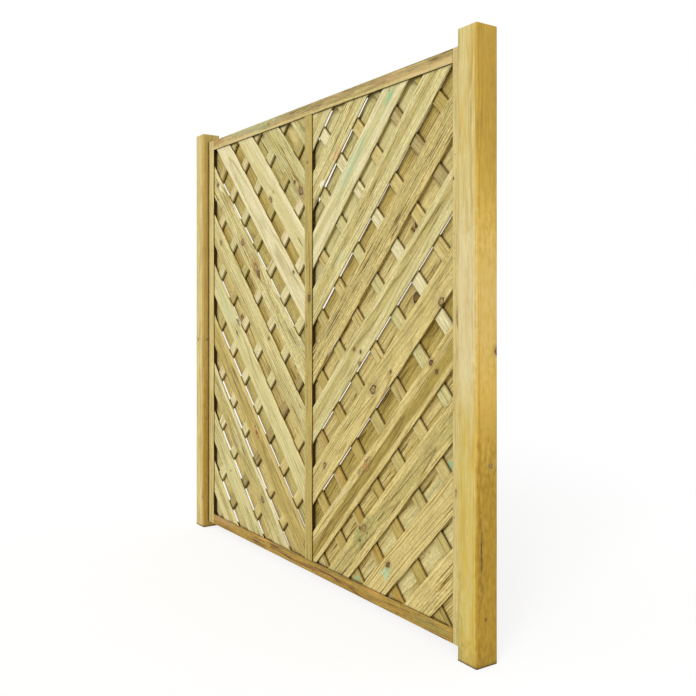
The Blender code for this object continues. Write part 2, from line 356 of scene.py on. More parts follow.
class PineGroups:
    """Node groups that every pine finish shares."""

    def __init__(self) -> None:
        """Build the four groups."""
        self.flow = self.build_flow()
        self.figure = self.build_figure()
        self.knot = self.build_knot()
        self.patch = self.build_patch()

    @staticmethod
    def build_flow() -> Tree:
        """Bend the grain round a knot.

        The point's distance from the knot's centre, each direction with its weight, is divided by the
        radius, and a noise makes it uneven. The weight of the bend falls with the square of a drawn-out
        distance, and it pulls the across coordinate that the rings are read at towards the knot's centre,
        so the lines spread around it.

        Returns:
            The group. Its outputs are the bent point, the distance, which is 1 at the rim, and the noise
            that breaks the rim up.
        """
        group = Group(
            "pine_knot_flow", "Point:Vector Centre:Vector Radius:Float Weights:Vector",
            "Point:Vector Distance:Float Grit:Float",
        )
        node = group.node
        point, centre, radius, weights = group.given
        weighted = node("VectorMath MULTIPLY", node("VectorMath SUBTRACT", point, centre), weights)
        drawn_out = node("VectorMath MULTIPLY", weighted, (0.5, 0.5, 0.22))
        share = node("Math DIVIDE", node("VectorMath LENGTH", drawn_out), radius)
        falling = node("Math MULTIPLY", node("Math MULTIPLY", share, share), -1)
        bend = node("Math MULTIPLY", node("Math EXPONENT", falling), -0.82)
        pull = node("VectorMath MULTIPLY", weighted, (1, 1, 0))
        moved = node("VectorMath SCALE", pull, sockets={"Scale": bend})
        grit_point = node("VectorMath MULTIPLY", point, (0.13, 0.13, 0.1))
        grit = node("TexNoise", grit_point, 1, 3, 0.6, 2, 0)
        even = node("Math DIVIDE", node("VectorMath LENGTH", weighted), radius)
        distance = node("Math ADD", even, node("Math MULTIPLY_ADD", grit, 1.5, -0.75))
        return group.close(node("VectorMath ADD", point, moved), distance, grit)

    @staticmethod
    def build_figure() -> Tree:
        """Draw the growth rings, the heart band, the fibres and the slow change of tone.

        A ring's number is the distance from the log's centre line, which is tilted to the board, plus a
        slow noise, divided by the ring width. Within a ring the wood darkens up to the late wood and
        breaks off sharply, and each ring has a strength of its own. Thin dark lines and small specks are
        the peaks of two stretched noises, and they keep to patches of a slow one. A slow and a fine noise
        change the brightness, and a painted highlight makes it rise towards the long edges.

        Scales are in cells per millimetre. Across the grain the coarsest cells are 3.1 mm for the fibres,
        4.3 mm for the dark lines and 6.7 mm for the specks. Real fibres are well under 0.1 mm wide and a
        pixel of the main view covers 3.9 mm, so they are drawn as coarse as they need to show.

        Returns:
            The group. Its outputs are the colour and the height of the surface.
        """
        group = Group(
            "pine_figure",
            "Point:Vector Light:Color Dark:Color HeartLight:Color HeartDark:Color HeartAt:Float "
            "HeartWidth:Float HeartMix:Float Pith:Float Depth:Float Drift:Float Ring:Float "
            "Contrast:Float Hairs:Float Slope:Float Seed:Float EdgeValue:Float",
            "Colour:Color Height:Float",
        )
        node = group.node
        point, light, dark, heart_light, heart_dark, heart_at, heart_width, heart_mix = group.given[:8]
        pith, depth, drift, ring, contrast, hairs, slope, seed, highlight_value = group.given[8:]
        across, through, along = node("SeparateXYZ", point).outputs
        seeded = node("CombineXYZ", seed, seed, seed)

        def grain(scale: Point, detail: float = 2, distortion: float = 0) -> Node:
            """The board's own pattern, stretched along the grain by a scale for each direction."""
            place = node("VectorMath MULTIPLY_ADD", point, scale, seeded)
            return node("TexNoise", place, 1, detail, 0.55, 2, distortion)

        finer = node("Math MULTIPLY", grain((0.045, 0.045, 0.0016)), 16)
        warp = node("Math MULTIPLY_ADD", grain((0.012, 0.012, 0.0022)), 22, finer)
        tilt = node("Math MULTIPLY_ADD", along, drift, depth)
        arm = node(
            "CombineXYZ", node("Math SUBTRACT", across, pith), node("Math SUBTRACT", through, tilt), 0
        )
        phase = node("Math DIVIDE", node("Math ADD", node("VectorMath LENGTH", arm), warp), ring)
        share = node("Math FRACT", phase)
        chance = node("TexWhiteNoise 1D", node("Math ADD", node("Math FLOOR", phase), seed))
        power = node("MapRange", chance, 0, 1, 0.15, 1.4)
        rise = node("MapRange SMOOTHSTEP", share, 0.5, 0.88, 0, 1)
        fall = node("MapRange SMOOTHSTEP", share, 0.9, 1, 1, 0)
        late = node("Math MULTIPLY", node("Math MULTIPLY", rise, fall), power)
        fibre = grain((0.32, 0.32, 0.009), 3)
        streak = node("MapRange", fibre, 0.35, 0.7, -0.4, 0.5)
        rings = node("Math MULTIPLY", node("Math ADD", late, streak), contrast)
        hair = node("MapRange", grain((0.23, 0.23, 0.006)), 0.59, 0.64, 0, 1.8)
        speck = node("MapRange", grain((0.15, 0.15, 0.11), 1), 0.72, 0.77, 0, 2)
        where = node("MapRange", grain((0.022, 0.022, 0.004)), 0.44, 0.56, 0.2, 1)
        grouped = node("Math MULTIPLY", node("Math MAXIMUM", hair, speck), where)
        lines = node("Math ADD", rings, node("Math MULTIPLY", grouped, hairs))
        line = node("Clamp", lines, -0.3, 1.8)

        winding = node("Math MULTIPLY_ADD", along, 0.0035, seed)
        wander = node("Math ADD", node("TexNoise 1D", winding, 1, 1, 0.5, 2, 0), -0.5)
        drifted = node("Math MULTIPLY_ADD", along, slope, heart_at)
        swing = node("Math MULTIPLY", wander, heart_width)
        swung = node("Math ADD", node("Math SUBTRACT", across, drifted), swing)
        inner, outer = (node("Math MULTIPLY", heart_width, part) for part in (0.85, 1.15))
        band = node("MapRange SMOOTHSTEP", node("Math ABSOLUTE", swung), inner, outer, 1, 0)
        cloud = node("MapRange", grain((0.03, 0.03, 0.005), 3, 0.4), 0.5, 0.62, 0, 0.55)
        heart = node("Math MULTIPLY", node("Math MAXIMUM", band, cloud), heart_mix)

        sap = node("Mix RGBA", line, light, dark, clamp_factor=False)
        core = node("Mix RGBA", line, heart_light, heart_dark, clamp_factor=False)
        slow = node("MapRange", grain((0.05, 0.05, 0.012), 3, 0.4), 0.3, 0.7, 0.92, 1.08)
        mottle = node("MapRange", grain((0.2, 0.2, 0.07)), 0.3, 0.7, -0.24, 0.24)
        # Painted highlight: the colour brightens towards the long edges, where eased edges catch light.
        edge = node("MapRange SMOOTHSTEP", node("Math ABSOLUTE", across), 22, 44, 1, highlight_value)
        even = node("Math MULTIPLY", slow, edge)
        value = node("Math MULTIPLY", even, node("Math MULTIPLY_ADD", mottle, hairs, 1))
        wood = node("Mix RGBA", heart, sap, core)
        toned = node("HueSaturation", sockets={"Value": value, "Color": wood})
        return group.close(toned, node("Math MULTIPLY_ADD", line, -0.6, fibre))

    @staticmethod
    def build_knot() -> Tree:
        """Colour a knot over the wood.

        It has small rings and a dark eye inside, a dark rim that a noise breaks up, and around it a warm
        halo with a few curved grain lines that fade outwards.

        Returns:
            The group. Its output is the wood's colour with the knot on it.
        """
        group = Group(
            "pine_knot_colour", "Wood:Color Distance:Float Grit:Float Inside:Color Rim:Color", "Colour:Color"
        )
        node = group.node
        wood, distance, grit, inside, rim = group.given
        halo = node("MapRange SMOOTHSTEP", distance, 1, 3, 0.4, 0)
        warm = node("Mix RGBA", halo, wood, inside)
        rings = node("MapRange", node("Math SINE", node("Math MULTIPLY", distance, 13)), -0.2, 1, 0, 0.6)
        lined = node("Mix RGBA", node("Math MULTIPLY", rings, halo), warm, rim)
        eye = node("MapRange", distance, 0, 0.4, 0.8, 0)
        core = node("Mix RGBA", node("Math MAXIMUM", rings, eye), inside, rim)
        broken = node("MapRange", grit, 0.42, 0.62, 1, 0.45)
        near = node("MapRange SMOOTHSTEP", distance, 0.5, 0.85, 0, broken)
        cover = node("MapRange SMOOTHSTEP", distance, 0.98, 1.3, 1, 0)
        return group.close(node("Mix RGBA", cover, lined, node("Mix RGBA", near, core, rim)))

    @staticmethod
    def build_patch() -> Tree:
        """Lay a stain, crack or torn place over the wood, uneven in outline and strength.

        Returns:
            The group. Its output is the wood's colour with the patch on it.
        """
        group = Group(
            "pine_patch",
            "Wood:Color Point:Vector Centre:Vector Sizes:Vector Tint:Color Strength:Float Ragged:Float "
            "Weights:Vector",
            "Colour:Color",
        )
        node = group.node
        wood, point, centre, sizes, tint, strength, ragged, weights = group.given
        noise = node("TexNoise", node("VectorMath MULTIPLY", point, (0.09, 0.09, 0.04)), 1, 3, 0.6, 2, 0)
        scaled = node("VectorMath DIVIDE", node("VectorMath SUBTRACT", point, centre), sizes)
        reach = node("VectorMath LENGTH", node("VectorMath MULTIPLY", scaled, weights))
        rough = node("Math MULTIPLY", node("Math ADD", noise, -0.5), ragged)
        edge = node("Math MULTIPLY_ADD", rough, 2.4, reach)
        mask = node("MapRange SMOOTHSTEP", edge, 0.6, 1.1, 1, 0)
        patchy = node("Math MULTIPLY", mask, node("MapRange", noise, 0.35, 0.65, 1.1, 0.6))
        return group.close(node("Mix RGBA", node("Math MULTIPLY", patchy, strength), wood, tint))


@dataclass(frozen=True)
class TreatedPine:
    """Pressure-treated pine, planed: matt, with a soft sheen on the hard late wood lines.

    Attributes:
        groups: The shared node groups.
        look: The board's figure.
        angle: The turn about Y, in degrees, that lays the board along the pattern's third axis.
        centre: The board's middle, in metres.
        seed: The board's own number, which no other board has.
        pale_edge: How much paler the wood is painted along the long edges, as a share: a painted highlight
            where the eased edges catch light.
        grime: What is left of red, green and blue deep in a crevice: painted shade where little light gets
            in.
        grime_reach: How near another surface has to be for that, in metres.
        grime_range: The open shares between which the painted shade fades out.
    """

    groups: PineGroups
    look: Look
    angle: float
    centre: Point
    seed: float
    pale_edge: float = 0.0
    # Painted shade: how dark a crevice is painted, how near another surface makes one, and how open it has
    # to be.
    grime: Point = (0.16, 0.12, 0.05)
    grime_reach: float = 0.012
    grime_range: tuple[float, float] = (0.5, 0.92)

    def local(self, x: float, y: float, z: float) -> Point:
        """Turn a place in millimetres into the pattern's across, through and along.

        Args:
            x: Millimetres to the right.
            y: Millimetres to the back.
            z: Millimetres up.

        Returns:
            Across, through and along, measured from the board's middle.
        """
        turn = math.radians(self.angle)
        cx, cy, cz = (part / MM for part in self.centre)
        dx, dy, dz = x - cx, y - cy, z - cz
        return (
            dx * math.cos(turn) + dz * math.sin(turn),
            dy,
            dz * math.cos(turn) - dx * math.sin(turn),
        )

    def figure(self, node: Callable[..., Node], coordinates: Socket) -> dict:
        """Add the board's figure, its marks and the painted shade in its crevices.

        Args:
            node: The function that adds a node to the material.
            coordinates: The point in object coordinates.

        Returns:
            The shader's inputs by name.
        """
        look, groups = self.look, self.groups
        turn, scale = (0, math.radians(self.angle), 0), (1 / MM, 1 / MM, 1 / MM)
        point = plain = first_output(node("Mapping", coordinates, self.local(0, 0, 0), turn, scale))
        placed = [(mark, self.local(mark.x + PANEL_LEFT, mark.y, mark.z)) for mark in look.marks]
        reaches = []
        for mark, place in placed:
            if isinstance(mark, Knot):
                flow = node("Group", point, place, mark.radius, mark.weights, node_tree=groups.flow)
                point, *reach = flow.outputs
                reaches.append((mark, reach))
        tones = [hex_linear(code) for tone in (look.tone, look.heart) for code in tone.value]
        colour, height = node(
            "Group", point, *tones, look.heart_at, look.heart_width, look.heart_mix, look.pith, look.depth,
            look.drift, look.ring, look.contrast, look.hairs, look.slope, self.seed, 1.0 + self.pale_edge,
            node_tree=groups.figure,
        ).outputs
        for mark, place in placed:
            if isinstance(mark, Patch):
                sizes = (mark.half_width, mark.half_width, mark.half_length)
                tint = hex_linear(mark.colour.value)
                colour = node(
                    "Group", colour, plain, place, sizes, tint, mark.strength, mark.ragged, mark.weights,
                    node_tree=groups.patch,
                )
        for mark, reach in reaches:
            colours = (hex_linear(code) for code in mark.colour.value)
            colour = node("Group", colour, *reach, *colours, node_tree=groups.knot)
        # Painted shade: ambient occlusion darkens the colour in the crevices between slats, battens and
        # frame.
        occlusion = node("AmbientOcclusion", samples=8, sockets={"Distance": self.grime_reach})
        unshaded = node("MapRange", occlusion.outputs["AO"], *self.grime_range, 0, 1)
        shaded_colour = node("VectorMath MULTIPLY", colour, self.grime)
        return {
            "Base Color": node("Mix RGBA", unshaded, shaded_colour, colour),
            "Roughness": node("MapRange", height, -0.5, 0.7, 0.55, 0.72),
            "Normal": node("Bump", sockets={"Strength": 0.35, "Distance": 0.0004, "Height": height}),
        }

    def material(self, name: str) -> Material:
        """Make the board's material under a name."""
        return surface(name, self.figure, IOR=WOOD_IOR, Specular_IOR_Level=0.35)


@dataclass(frozen=True)
class ZincPlatedSteel:
    """Zinc-plated steel of a screw or pin: grey, slightly yellowed, with fine spangle.

    Attributes:
        light: The colour of the bright crystals.
        dark: The colour of the dull ones.
        grain: Cells of the noise in a metre, so the coarsest are 1.1 mm wide. A pixel of the main view
            covers 3.9 mm, so they show only from close by.
    """

    light: str = "B9B8AE"
    dark: str = "8C8A7C"
    grain: float = 900.0

    def spangle(self, node: Callable[..., Node], coordinates: Socket) -> dict:
        """Add the spangle, which changes the grey and the gloss from crystal to crystal.

        Args:
            node: The function that adds a node to the material.
            coordinates: The point in object coordinates.

        Returns:
            The shader's inputs by name.
        """
        cells = node("TexNoise", coordinates, self.grain, 3, 0.6, 2, 0)
        return {
            "Base Color": node("Mix RGBA", cells, hex_linear(self.dark), hex_linear(self.light)),
            "Roughness": node("MapRange", cells, 0.3, 0.7, 0.32, 0.48),
        }

    def material(self, name: str) -> Material:
        """Make the plated steel's material under a name."""
        return surface(name, self.spangle, Metallic=1.0)


@dataclass(frozen=True)
class SawnGroove:
    """The rough floor of a groove cut by a saw: matt, with saw marks, and nearly black with painted shade.

    Attributes:
        light: The colour of the ridges.
        dark: The colour of the saw cuts between them.
        pitch: Distance of the saw marks, in metres.
    """

    # Both colours are nearly black: painted shade in the groove and on the lips beside it.
    light: str = "6A5022"
    dark: str = "281A0A"
    pitch: float = 0.003

    def marks(self, node: Callable[..., Node], coordinates: Socket) -> dict:
        """Add the saw marks, which are darker and lower than the ridges between them.

        Args:
            node: The function that adds a node to the material.
            coordinates: The point in object coordinates.

        Returns:
            The shader's inputs by name.
        """
        marks = node("TexNoise", coordinates, 1.0 / self.pitch, 2, 0.6, 2, 0)
        deep = node("MapRange", marks, 0.35, 0.7, 0, 1)
        return {
            "Base Color": node("Mix RGBA", deep, hex_linear(self.dark), hex_linear(self.light)),
            "Roughness": node("MapRange", marks, 0.3, 0.7, 0.8, 0.92),
            "Normal": node("Bump", sockets={"Strength": 0.5, "Distance": 0.0006, "Height": marks}),
        }

    def material(self, name: str) -> Material:
        """Make the groove's material under a name."""
        return surface(name, self.marks, IOR=WOOD_IOR, Specular_IOR_Level=0.2)


# Surfaces


class Caps(Enum):
    """How the ends of a lofted surface are closed."""

    POLYGON = "one flat face"
    LADDER = "a row of faces from each point to the one facing it"


def loft(name: str, rings: np.ndarray, caps: Caps = Caps.POLYGON) -> Item:
    """Make one closed surface through rings of points.

    Neighbouring rings are joined by four-sided faces, and the two end rings are closed.

    Args:
        name: The object's name.
        rings: The points, by ring, place in the ring, and coordinate.
        caps: How the ends are closed.

    Returns:
        The new object, at the origin and riding on the frame's body.
    """
    count, size, _ = rings.shape
    index = np.arange(count * size).reshape(count, size)
    ahead = np.roll(index, -1, axis=1)
    sides = np.stack((index[:-1], ahead[:-1], ahead[1:], index[1:]), axis=-1).reshape(-1, 4)
    faces = sides.tolist()
    for ring in (index[0], index[-1]):
        if caps is Caps.POLYGON:
            faces.append(ring.tolist())
        else:
            front, back = ring[:size // 2], ring[::-1][:size // 2]
            faces += np.stack((front[:-1], front[1:], back[1:], back[:-1]), axis=-1).tolist()
    mesh = bpy.data.meshes.new(name)
    mesh.from_pydata(rings.reshape(-1, 3).tolist(), [], faces)
    shape = bmesh.new()
    shape.from_mesh(mesh)
    bmesh.ops.remove_doubles(shape, verts=shape.verts, dist=MERGE_DISTANCE)
    bmesh.ops.recalc_face_normals(shape, faces=shape.faces)
    for face in shape.faces:
        face.smooth = True
    shape.to_mesh(mesh)
    shape.free()
    mesh.set_sharp_from_angle(angle=SHARP_ANGLE)
    item = bpy.data.objects.new(name, mesh)
    bpy.context.scene.collection.objects.link(item)
    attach(item, BODY)
    return item


def dress(item: Item, finish: TreatedPine | ZincPlatedSteel, slot: str, *nodes: str) -> None:
    """Give a piece its material, hide the CAD nodes that it stands for, and log its slot.

    Args:
        item: The piece.
        finish: The finish.
        slot: The record's material slot.
        nodes: The CAD nodes that it replaces.
    """
    item.data.materials.clear()
    item.data.materials.append(finish.material(f"{type(finish).__name__}_{item.name}"))
    if nodes:
        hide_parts(*nodes)
    LOG.info("%s: %d faces, slot %s", item.name, len(item.data.polygons), slot)


def name_rng(name: str) -> np.random.Generator:
    """Random numbers that are the same for a name in every run."""
    return np.random.default_rng(zlib.crc32(name.encode()))


def smooth_step(share: np.ndarray) -> np.ndarray:
    """The smooth step from 0 to 1: three times the square less twice the cube."""
    return share * share * (3.0 - 2.0 * share)


def smooth_line(places: np.ndarray, pitch: float, rng: np.random.Generator) -> np.ndarray:
    """A slowly changing line between 0 and 1: random values at an even pitch, joined by a smooth step.

    Args:
        places: Where the line is read, in metres.
        pitch: Distance between the random values.
        rng: The source of the random values.

    Returns:
        One value for each place.
    """
    low = float(places.min())
    values = rng.random(int((float(places.max()) - low) / pitch) + 3)
    position = (places - low) / pitch
    cell = np.floor(position).astype(int)
    eased = smooth_step(position - cell)
    return values[cell] * (1.0 - eased) + values[cell + 1] * eased


def even_places(low: float, high: float, pitch: float) -> np.ndarray:
    """Evenly spaced places between two ends, no further apart than the pitch."""
    return np.linspace(low, high, max(2, int(math.ceil((high - low) / pitch)) + 1))


def corner_turn(steps: int) -> np.ndarray:
    """Angles of a quarter turn, in even steps."""
    return np.linspace(0.0, np.pi / 2, steps + 1)


def eased_ends(
    low: float, high: float, radius: float, pitch: float = 0.02, steps: int = 4
) -> tuple[np.ndarray, np.ndarray]:
    """Places along a member, closer together at its eased ends, with how far the section shrinks there.

    Within the radius of an end the shrinkage follows a quarter circle.

    Args:
        low: One end.
        high: The other end.
        radius: Radius of the easing.
        pitch: Distance between the places in between.
        steps: Steps of an easing.

    Returns:
        The places and the shrinkage at each.
    """
    inward = radius * (1.0 - np.cos(corner_turn(steps)))
    middle = even_places(low + radius, high - radius, pitch)[1:-1]
    places = np.concatenate((low + inward, middle, (high - inward)[::-1]))
    reach = np.minimum(places - low, high - places)
    rest = np.clip(radius - reach, 0.0, radius)
    return places, radius - np.sqrt(np.maximum(radius ** 2 - rest ** 2, 0.0))


# Sides, openings and boards


class Place(Enum):
    """A choice among named places, each with the sign of its coordinate."""

    @property
    def label(self) -> str:
        """The place's name in the names of pieces."""
        return self.name.lower()


class Side(Place):
    """A side of the panel, as seen from the front, with the sign of X on it."""

    LEFT = -1
    RIGHT = 1


class Layer(Place):
    """A layer of slats, with the sign of Y on it."""

    FRONT = -1
    BACK = 1


@dataclass(frozen=True)
class Opening:
    """One opening of the frame, between a stile and the mullion.

    Attributes:
        side: The side it is on.
        outer: X of its edge at the stile.
        inner: X of its edge at the mullion.
        base: Z of its lower edge.
        height: Its height.
        seat: How far the boards reach into the grooves around it.
    """

    side: Side
    outer: float
    inner: float
    base: float
    height: float
    seat: float = 0.011

    @property
    def width(self) -> float:
        """Width of the opening."""
        return abs(self.outer - self.inner)

    @property
    def climb(self) -> float:
        """Distance from the lower corner to the opposite one, measured square to the boards."""
        return (self.width + self.height) / ROOT_TWO


@dataclass(frozen=True)
class DiagonalBoard:
    """A planed board laid at 45 degrees across an opening and trimmed by its edges.

    Attributes:
        opening: The opening it crosses.
        corner: X of the lower corner that its distance is measured from.
        outward: The sign of X that leads from that corner into the opening.
        distance: Distance of its centre line from the corner.
        depth: Y of its middle plane.
        width: Its width.
        thickness: Its thickness.
        arris: Radius of its eased long edges.
        cup: How far its edges stand off its middle, towards the side that the sign of its depth gives.
        sway: How far it is pushed away from the corner at its outer end, its middle and its other end.
        wear: How far its edges wander inwards.
        waves: Pitch and share of the slow and the quick part of that wandering.
        bite: Power of the distance from the centre line by which the wander reaches into the face.
        fade: Distance from an end over which the cup fades out.
        pitch: Distance between its rings of points.
        margin: How far its points stay inside the opening's corners.
        arris_steps: Steps of an arris.
        face_points: Points across a face, from arris to arris.
    """

    opening: Opening
    corner: float
    outward: int
    distance: float
    depth: float
    width: float
    thickness: float
    arris: float = 0.0012
    cup: float = 0.0004
    sway: Point = (0.0, 0.0, 0.0)
    wear: float = 0.0006
    waves: tuple[tuple[float, float], ...] = ((0.11, 0.7), (0.03, 0.3))
    bite: int = 6
    fade: float = 0.07
    pitch: float = 0.014
    margin: float = 0.0006
    arris_steps: int = 3
    face_points: int = 11

    def extent(self, reach: np.ndarray) -> tuple[np.ndarray, np.ndarray]:
        """Where the lines at some distances from the corner enter and leave the opening.

        On the line at distance d, a point s along it lies (d + s) / root two across the opening and
        (d - s) / root two above its base. Both have to stay between the edges of the opening, grown by
        the seats.

        Args:
            reach: Distances from the corner.

        Returns:
            The lowest and the highest s of each line.
        """
        low_t, high_t = -self.opening.seat, self.opening.width + self.opening.seat
        low_z, high_z = -self.opening.seat, self.opening.height + self.opening.seat
        start = np.maximum(low_t * ROOT_TWO - reach, reach - high_z * ROOT_TWO)
        end = np.minimum(high_t * ROOT_TWO - reach, reach - low_z * ROOT_TWO)
        return start, end

    def rings(self, name: str) -> np.ndarray:
        """Work out the board's surface.

        The section is a rectangle with rounded arrises, its points closer at the arrises. Along the
        board each point runs from one edge of the opening to the other, so the ends are trimmed square
        to the frame. The edges wander inwards by a smooth random line, and the section is cupped away
        from the battens, which fades towards the ends. The sway is a parabola through its three values.

        Args:
            name: The board's name, which its random lines come from.

        Returns:
            The points, by ring, place in the ring, and coordinate.
        """
        rng = name_rng(name)
        opening, half = self.opening, self.width / 2
        seat = 2 * opening.seat
        lowest = -seat / ROOT_TWO + self.margin
        highest = opening.climb + seat / ROOT_TWO - self.margin
        arc = half - self.arris * (1.0 - np.sin(corner_turn(self.arris_steps)))
        flat = np.linspace(-arc[0], arc[0], self.face_points)[1:-1]
        across = np.concatenate((-arc[::-1], flat, arc))
        kinks = np.array([opening.height, opening.width]) / ROOT_TWO - self.distance
        across = np.concatenate((across, kinks[np.abs(kinks) < half - self.arris]))
        low, high = max(-half, lowest - self.distance), min(half, highest - self.distance)
        across = np.unique(np.clip(across, low, high))
        side = np.clip(np.abs(across) - (half - self.arris), 0.0, self.arris)
        rise = self.thickness / 2 - self.arris + np.sqrt(np.maximum(self.arris ** 2 - side ** 2, 0.0))
        start, _ = self.extent(self.distance + self.sway[0] + across)
        _, end = self.extent(self.distance + self.sway[2] + across)
        longest = float((end - start).max())
        share = even_places(0.0, 1.0, self.pitch / longest)[:, None]
        run = start + (end - start) * share

        reach = np.abs(across) / half
        flanks = []
        for sign in (-1, 1):
            line = sum(smooth_line(share[:, 0] * longest, pitch, rng) * part for pitch, part in self.waves)
            flanks.append(np.where(np.sign(across) == sign, line[:, None] * self.wear, 0.0))
        place = across - np.sign(across) * sum(flanks) * reach ** self.bite
        fade = smooth_step(np.clip(np.minimum(run - start, end - run) / self.fade, 0.0, 1.0))
        stand = math.copysign(self.cup, self.depth) * reach ** 2 * fade if self.depth else 0.0 * run

        first, middle, last = self.sway
        bend = first * (1 - share) * (1 - 2 * share) + 4 * middle * share * (1 - share)
        line_at = self.distance + place + bend + last * share * (2 * share - 1)
        t, z = (line_at + run) / ROOT_TWO, (line_at - run) / ROOT_TWO
        x = self.corner + self.outward * t
        front = np.stack((x, self.depth + stand - rise, opening.base + z), axis=-1)
        back = np.stack((x, self.depth + stand + rise, opening.base + z), axis=-1)
        return np.concatenate((front, back[:, ::-1]), axis=1)

    def centre(self) -> Point:
        """Find the middle of the board's centre line.

        Returns:
            Its place, in metres.
        """
        start, end = self.extent(np.array([self.distance]))
        run = float(start[0] + end[0]) / 2
        t, z = (self.distance + run) / ROOT_TWO, (self.distance - run) / ROOT_TWO
        return self.corner + self.outward * t, self.depth, self.opening.base + z

    def build(
        self, name: str, groups: PineGroups, look: Look, seed: float, pale_edge: float = 0.0
    ) -> tuple[Item, TreatedPine]:
        """Build the board and work out its finish.

        Args:
            name: Its name, without the ending that marks a wooden piece.
            groups: The shared node groups of pine.
            look: Its figure.
            seed: Its own number.
            pale_edge: How much paler its long edges are painted, a painted highlight, as a share.

        Returns:
            The piece and its finish.
        """
        finish = TreatedPine(groups, look, 45.0 * self.outward, self.centre(), seed, pale_edge)
        return loft(f"{name}_wood", self.rings(name), Caps.LADDER), finish


# The figure of every frame member and slat

FRAME_LOOKS = {
    # The left post's amber heart band at 38 mm covers its +X side: the wood's own band, and painted shade on
    # that side.
    "left_post": Look(STRAW, AMBER, 38, 12, 0.65, 8, 6, 0.004, 8, 0.5, 0.2, marks=(
        Knot(-60, 890, 5, LIGHT, -41, (1, 0.1, 0.8)), Knot(-8, 142, 5, LIGHT, -41, (1, 0.1, 0.8)),
        Knot(0, 890, 5, LIGHT, -25, (0.1, 1, 0.8)), Knot(0, 515, 4, LIGHT, -30, (0.1, 1, 0.8)),
        Patch(5, 900, 14, 1400, RESIN, 0.3, 0.2), Patch(5, 300, 14, 520, RESIN, 0.6, 0.3),
    )),
    # The right post's ochre heart band at 44 mm covers its +X side: a golden band of the wood, and painted
    # shade on that side.
    "right_post": Look(STRAW, OCHRE, 44, 9, 1, -6, 9, 0.003, 8, 0.5, 0.12, marks=(
        Knot(1883, 915, 8, DARK, 36, (0.1, 1, 0.8)), Knot(1883, 582, 6, LIGHT, 11, (0.1, 1, 0.8)),
        Knot(1883, 138, 3, DARK, -8, (0.1, 1, 0.8)), Patch(1840, 260, 60, 560, LEMON, 0.5, 0.3),
        Patch(1840, 1050, 60, 330, CHALK, 0.25, 0.4), Patch(1888, 1010, 11, 420, TAN, 0.6, 0.4),
        Patch(1888, 1720, 11, 330, RESIN, 0.35, 0.3), Patch(1888, 240, 11, 520, RESIN, 0.75, 0.4),
        Patch(1888, 520, 8, 700, RESIN, 0.4, 0.5, -34, (1, 1, 1)),
        Patch(1883, 300, 7, 130, WANE, 0.55, 1, -26, (0.1, 1, 1)), Patch(1808, 30, 16, 240, MOSS, 0.3, 0.8),
        # This wane-coloured wash at the foot makes the post darker towards the bottom.
        Patch(1845, -30, 80, 95, WANE, 0.22, 0.6),
        Patch(1883, 330, 1.6, 70, CRACK, 0.9, 0.5, -25, (0.1, 1, 1)),
    )),
    "left_stile": Look(STRAW, HONEY, 2, 8, 0.6, 10, 30, 0.006, 8, 0.4, 0.3, marks=(
        # The dark line along the stile's outer edge, at x 0, is painted shadow where the post stands in
        # front of the stile.
        Patch(0, 930, 6, 1600, WANE, 0.7, 0.1),
    )),
    "right_stile": Look(STRAW, HONEY, -5, 9, 0.7, -12, 34, 0.006, 8, 0.4, 0.3, marks=(
        Knot(1752, 1432, 3, DARK), Knot(1763, 490, 4, LIGHT), Patch(1778, 1008, 12, 52, WANE, 0.75, 0.8),
        Patch(1751, 1679, 1.6, 3), Patch(1760, 1503, 1.6, 3), Patch(1757, 1262, 1.4, 3),
        Patch(1757, 1190, 1.6, 3), Patch(1752, 733, 1.8, 3), Patch(1763, 478, 2.6, 9, CRACK, 0.8, 0.9),
        Patch(1752, 432, 1.5, 4), Patch(1756, 408, 1.5, 4), Patch(1751, 260, 1.6, 3),
    )),
    "top_rail": Look(TAUPE, STRAW, -23, 12, 0.8, 4, 26, 0.006, 8, 0.7, 0.7, marks=(
        Knot(590, 1806, 5, LIGHT), Patch(450, 1812, 26, 330, GREEN, 0.35, 0.8),
        Patch(90, 1814, 22, 120, ORANGE, 0.25), Patch(210, 1785, 18, 330, BUFF, 0.75, 0.2),
        Patch(690, 1781, 18, 130, BUFF, 0.75, 0.2), Patch(1640, 1784, 21, 240, BUFF, 0.75, 0.2),
        Patch(1770, 1790, 20, 110, BUFF, 0.7, 0.2), Patch(250, 1803, 2.5, 200, ORANGE, 0.6),
        Patch(690, 1798, 2.5, 120, ORANGE, 0.7), Patch(1500, 1798, 3, 170, ORANGE, 0.45, 0.7),
        Patch(1690, 1804, 3, 90, ORANGE, 0.4, 0.7), Patch(880, 1812, 8, 13, MOSS, 0.8, 0.8),
        Patch(560, 1800, 9, 60, MOSS, 0.3, 0.9), Patch(1420, 1812, 7, 120, ROSY, 0.5, 0.9),
        Patch(1120, 1814, 6, 90, ROSY, 0.4, 0.9),
    )),
    "bottom_rail": Look(RUSSET, AMBER, 12, 10, 0.5, 4, 26, 0.01, 8, 0.8, 0.8, marks=(
        Patch(150, 60, 14, 130, ROSY, 0.5, 0.8), Patch(330, 76, 9, 34, ORANGE, 0.5, 1.1),
        Patch(520, 72, 11, 60, ORANGE, 0.45, 1.1), Patch(640, 80, 7, 34, WANE, 0.5, 1.1),
        Patch(760, 74, 9, 46, MOSS, 0.45, 1), Patch(905, 78, 8, 40, ORANGE, 0.4, 1),
        Patch(1090, 72, 9, 70, MOSS, 0.35, 1), Patch(1330, 66, 9, 60, ORANGE, 0.4, 1.1),
        Patch(1640, 48, 16, 110, MOSS, 0.35, 0.9),
    )),
    "mullion": Look(OLIVE, FAWN, 12, 25, 1, 9, 24, 0.004, 8, 0.5, 0.5, marks=(
        Knot(902, 1603, 4), Knot(915, 1078, 9, DARK), Knot(898, 972, 3.5),
    )),
}

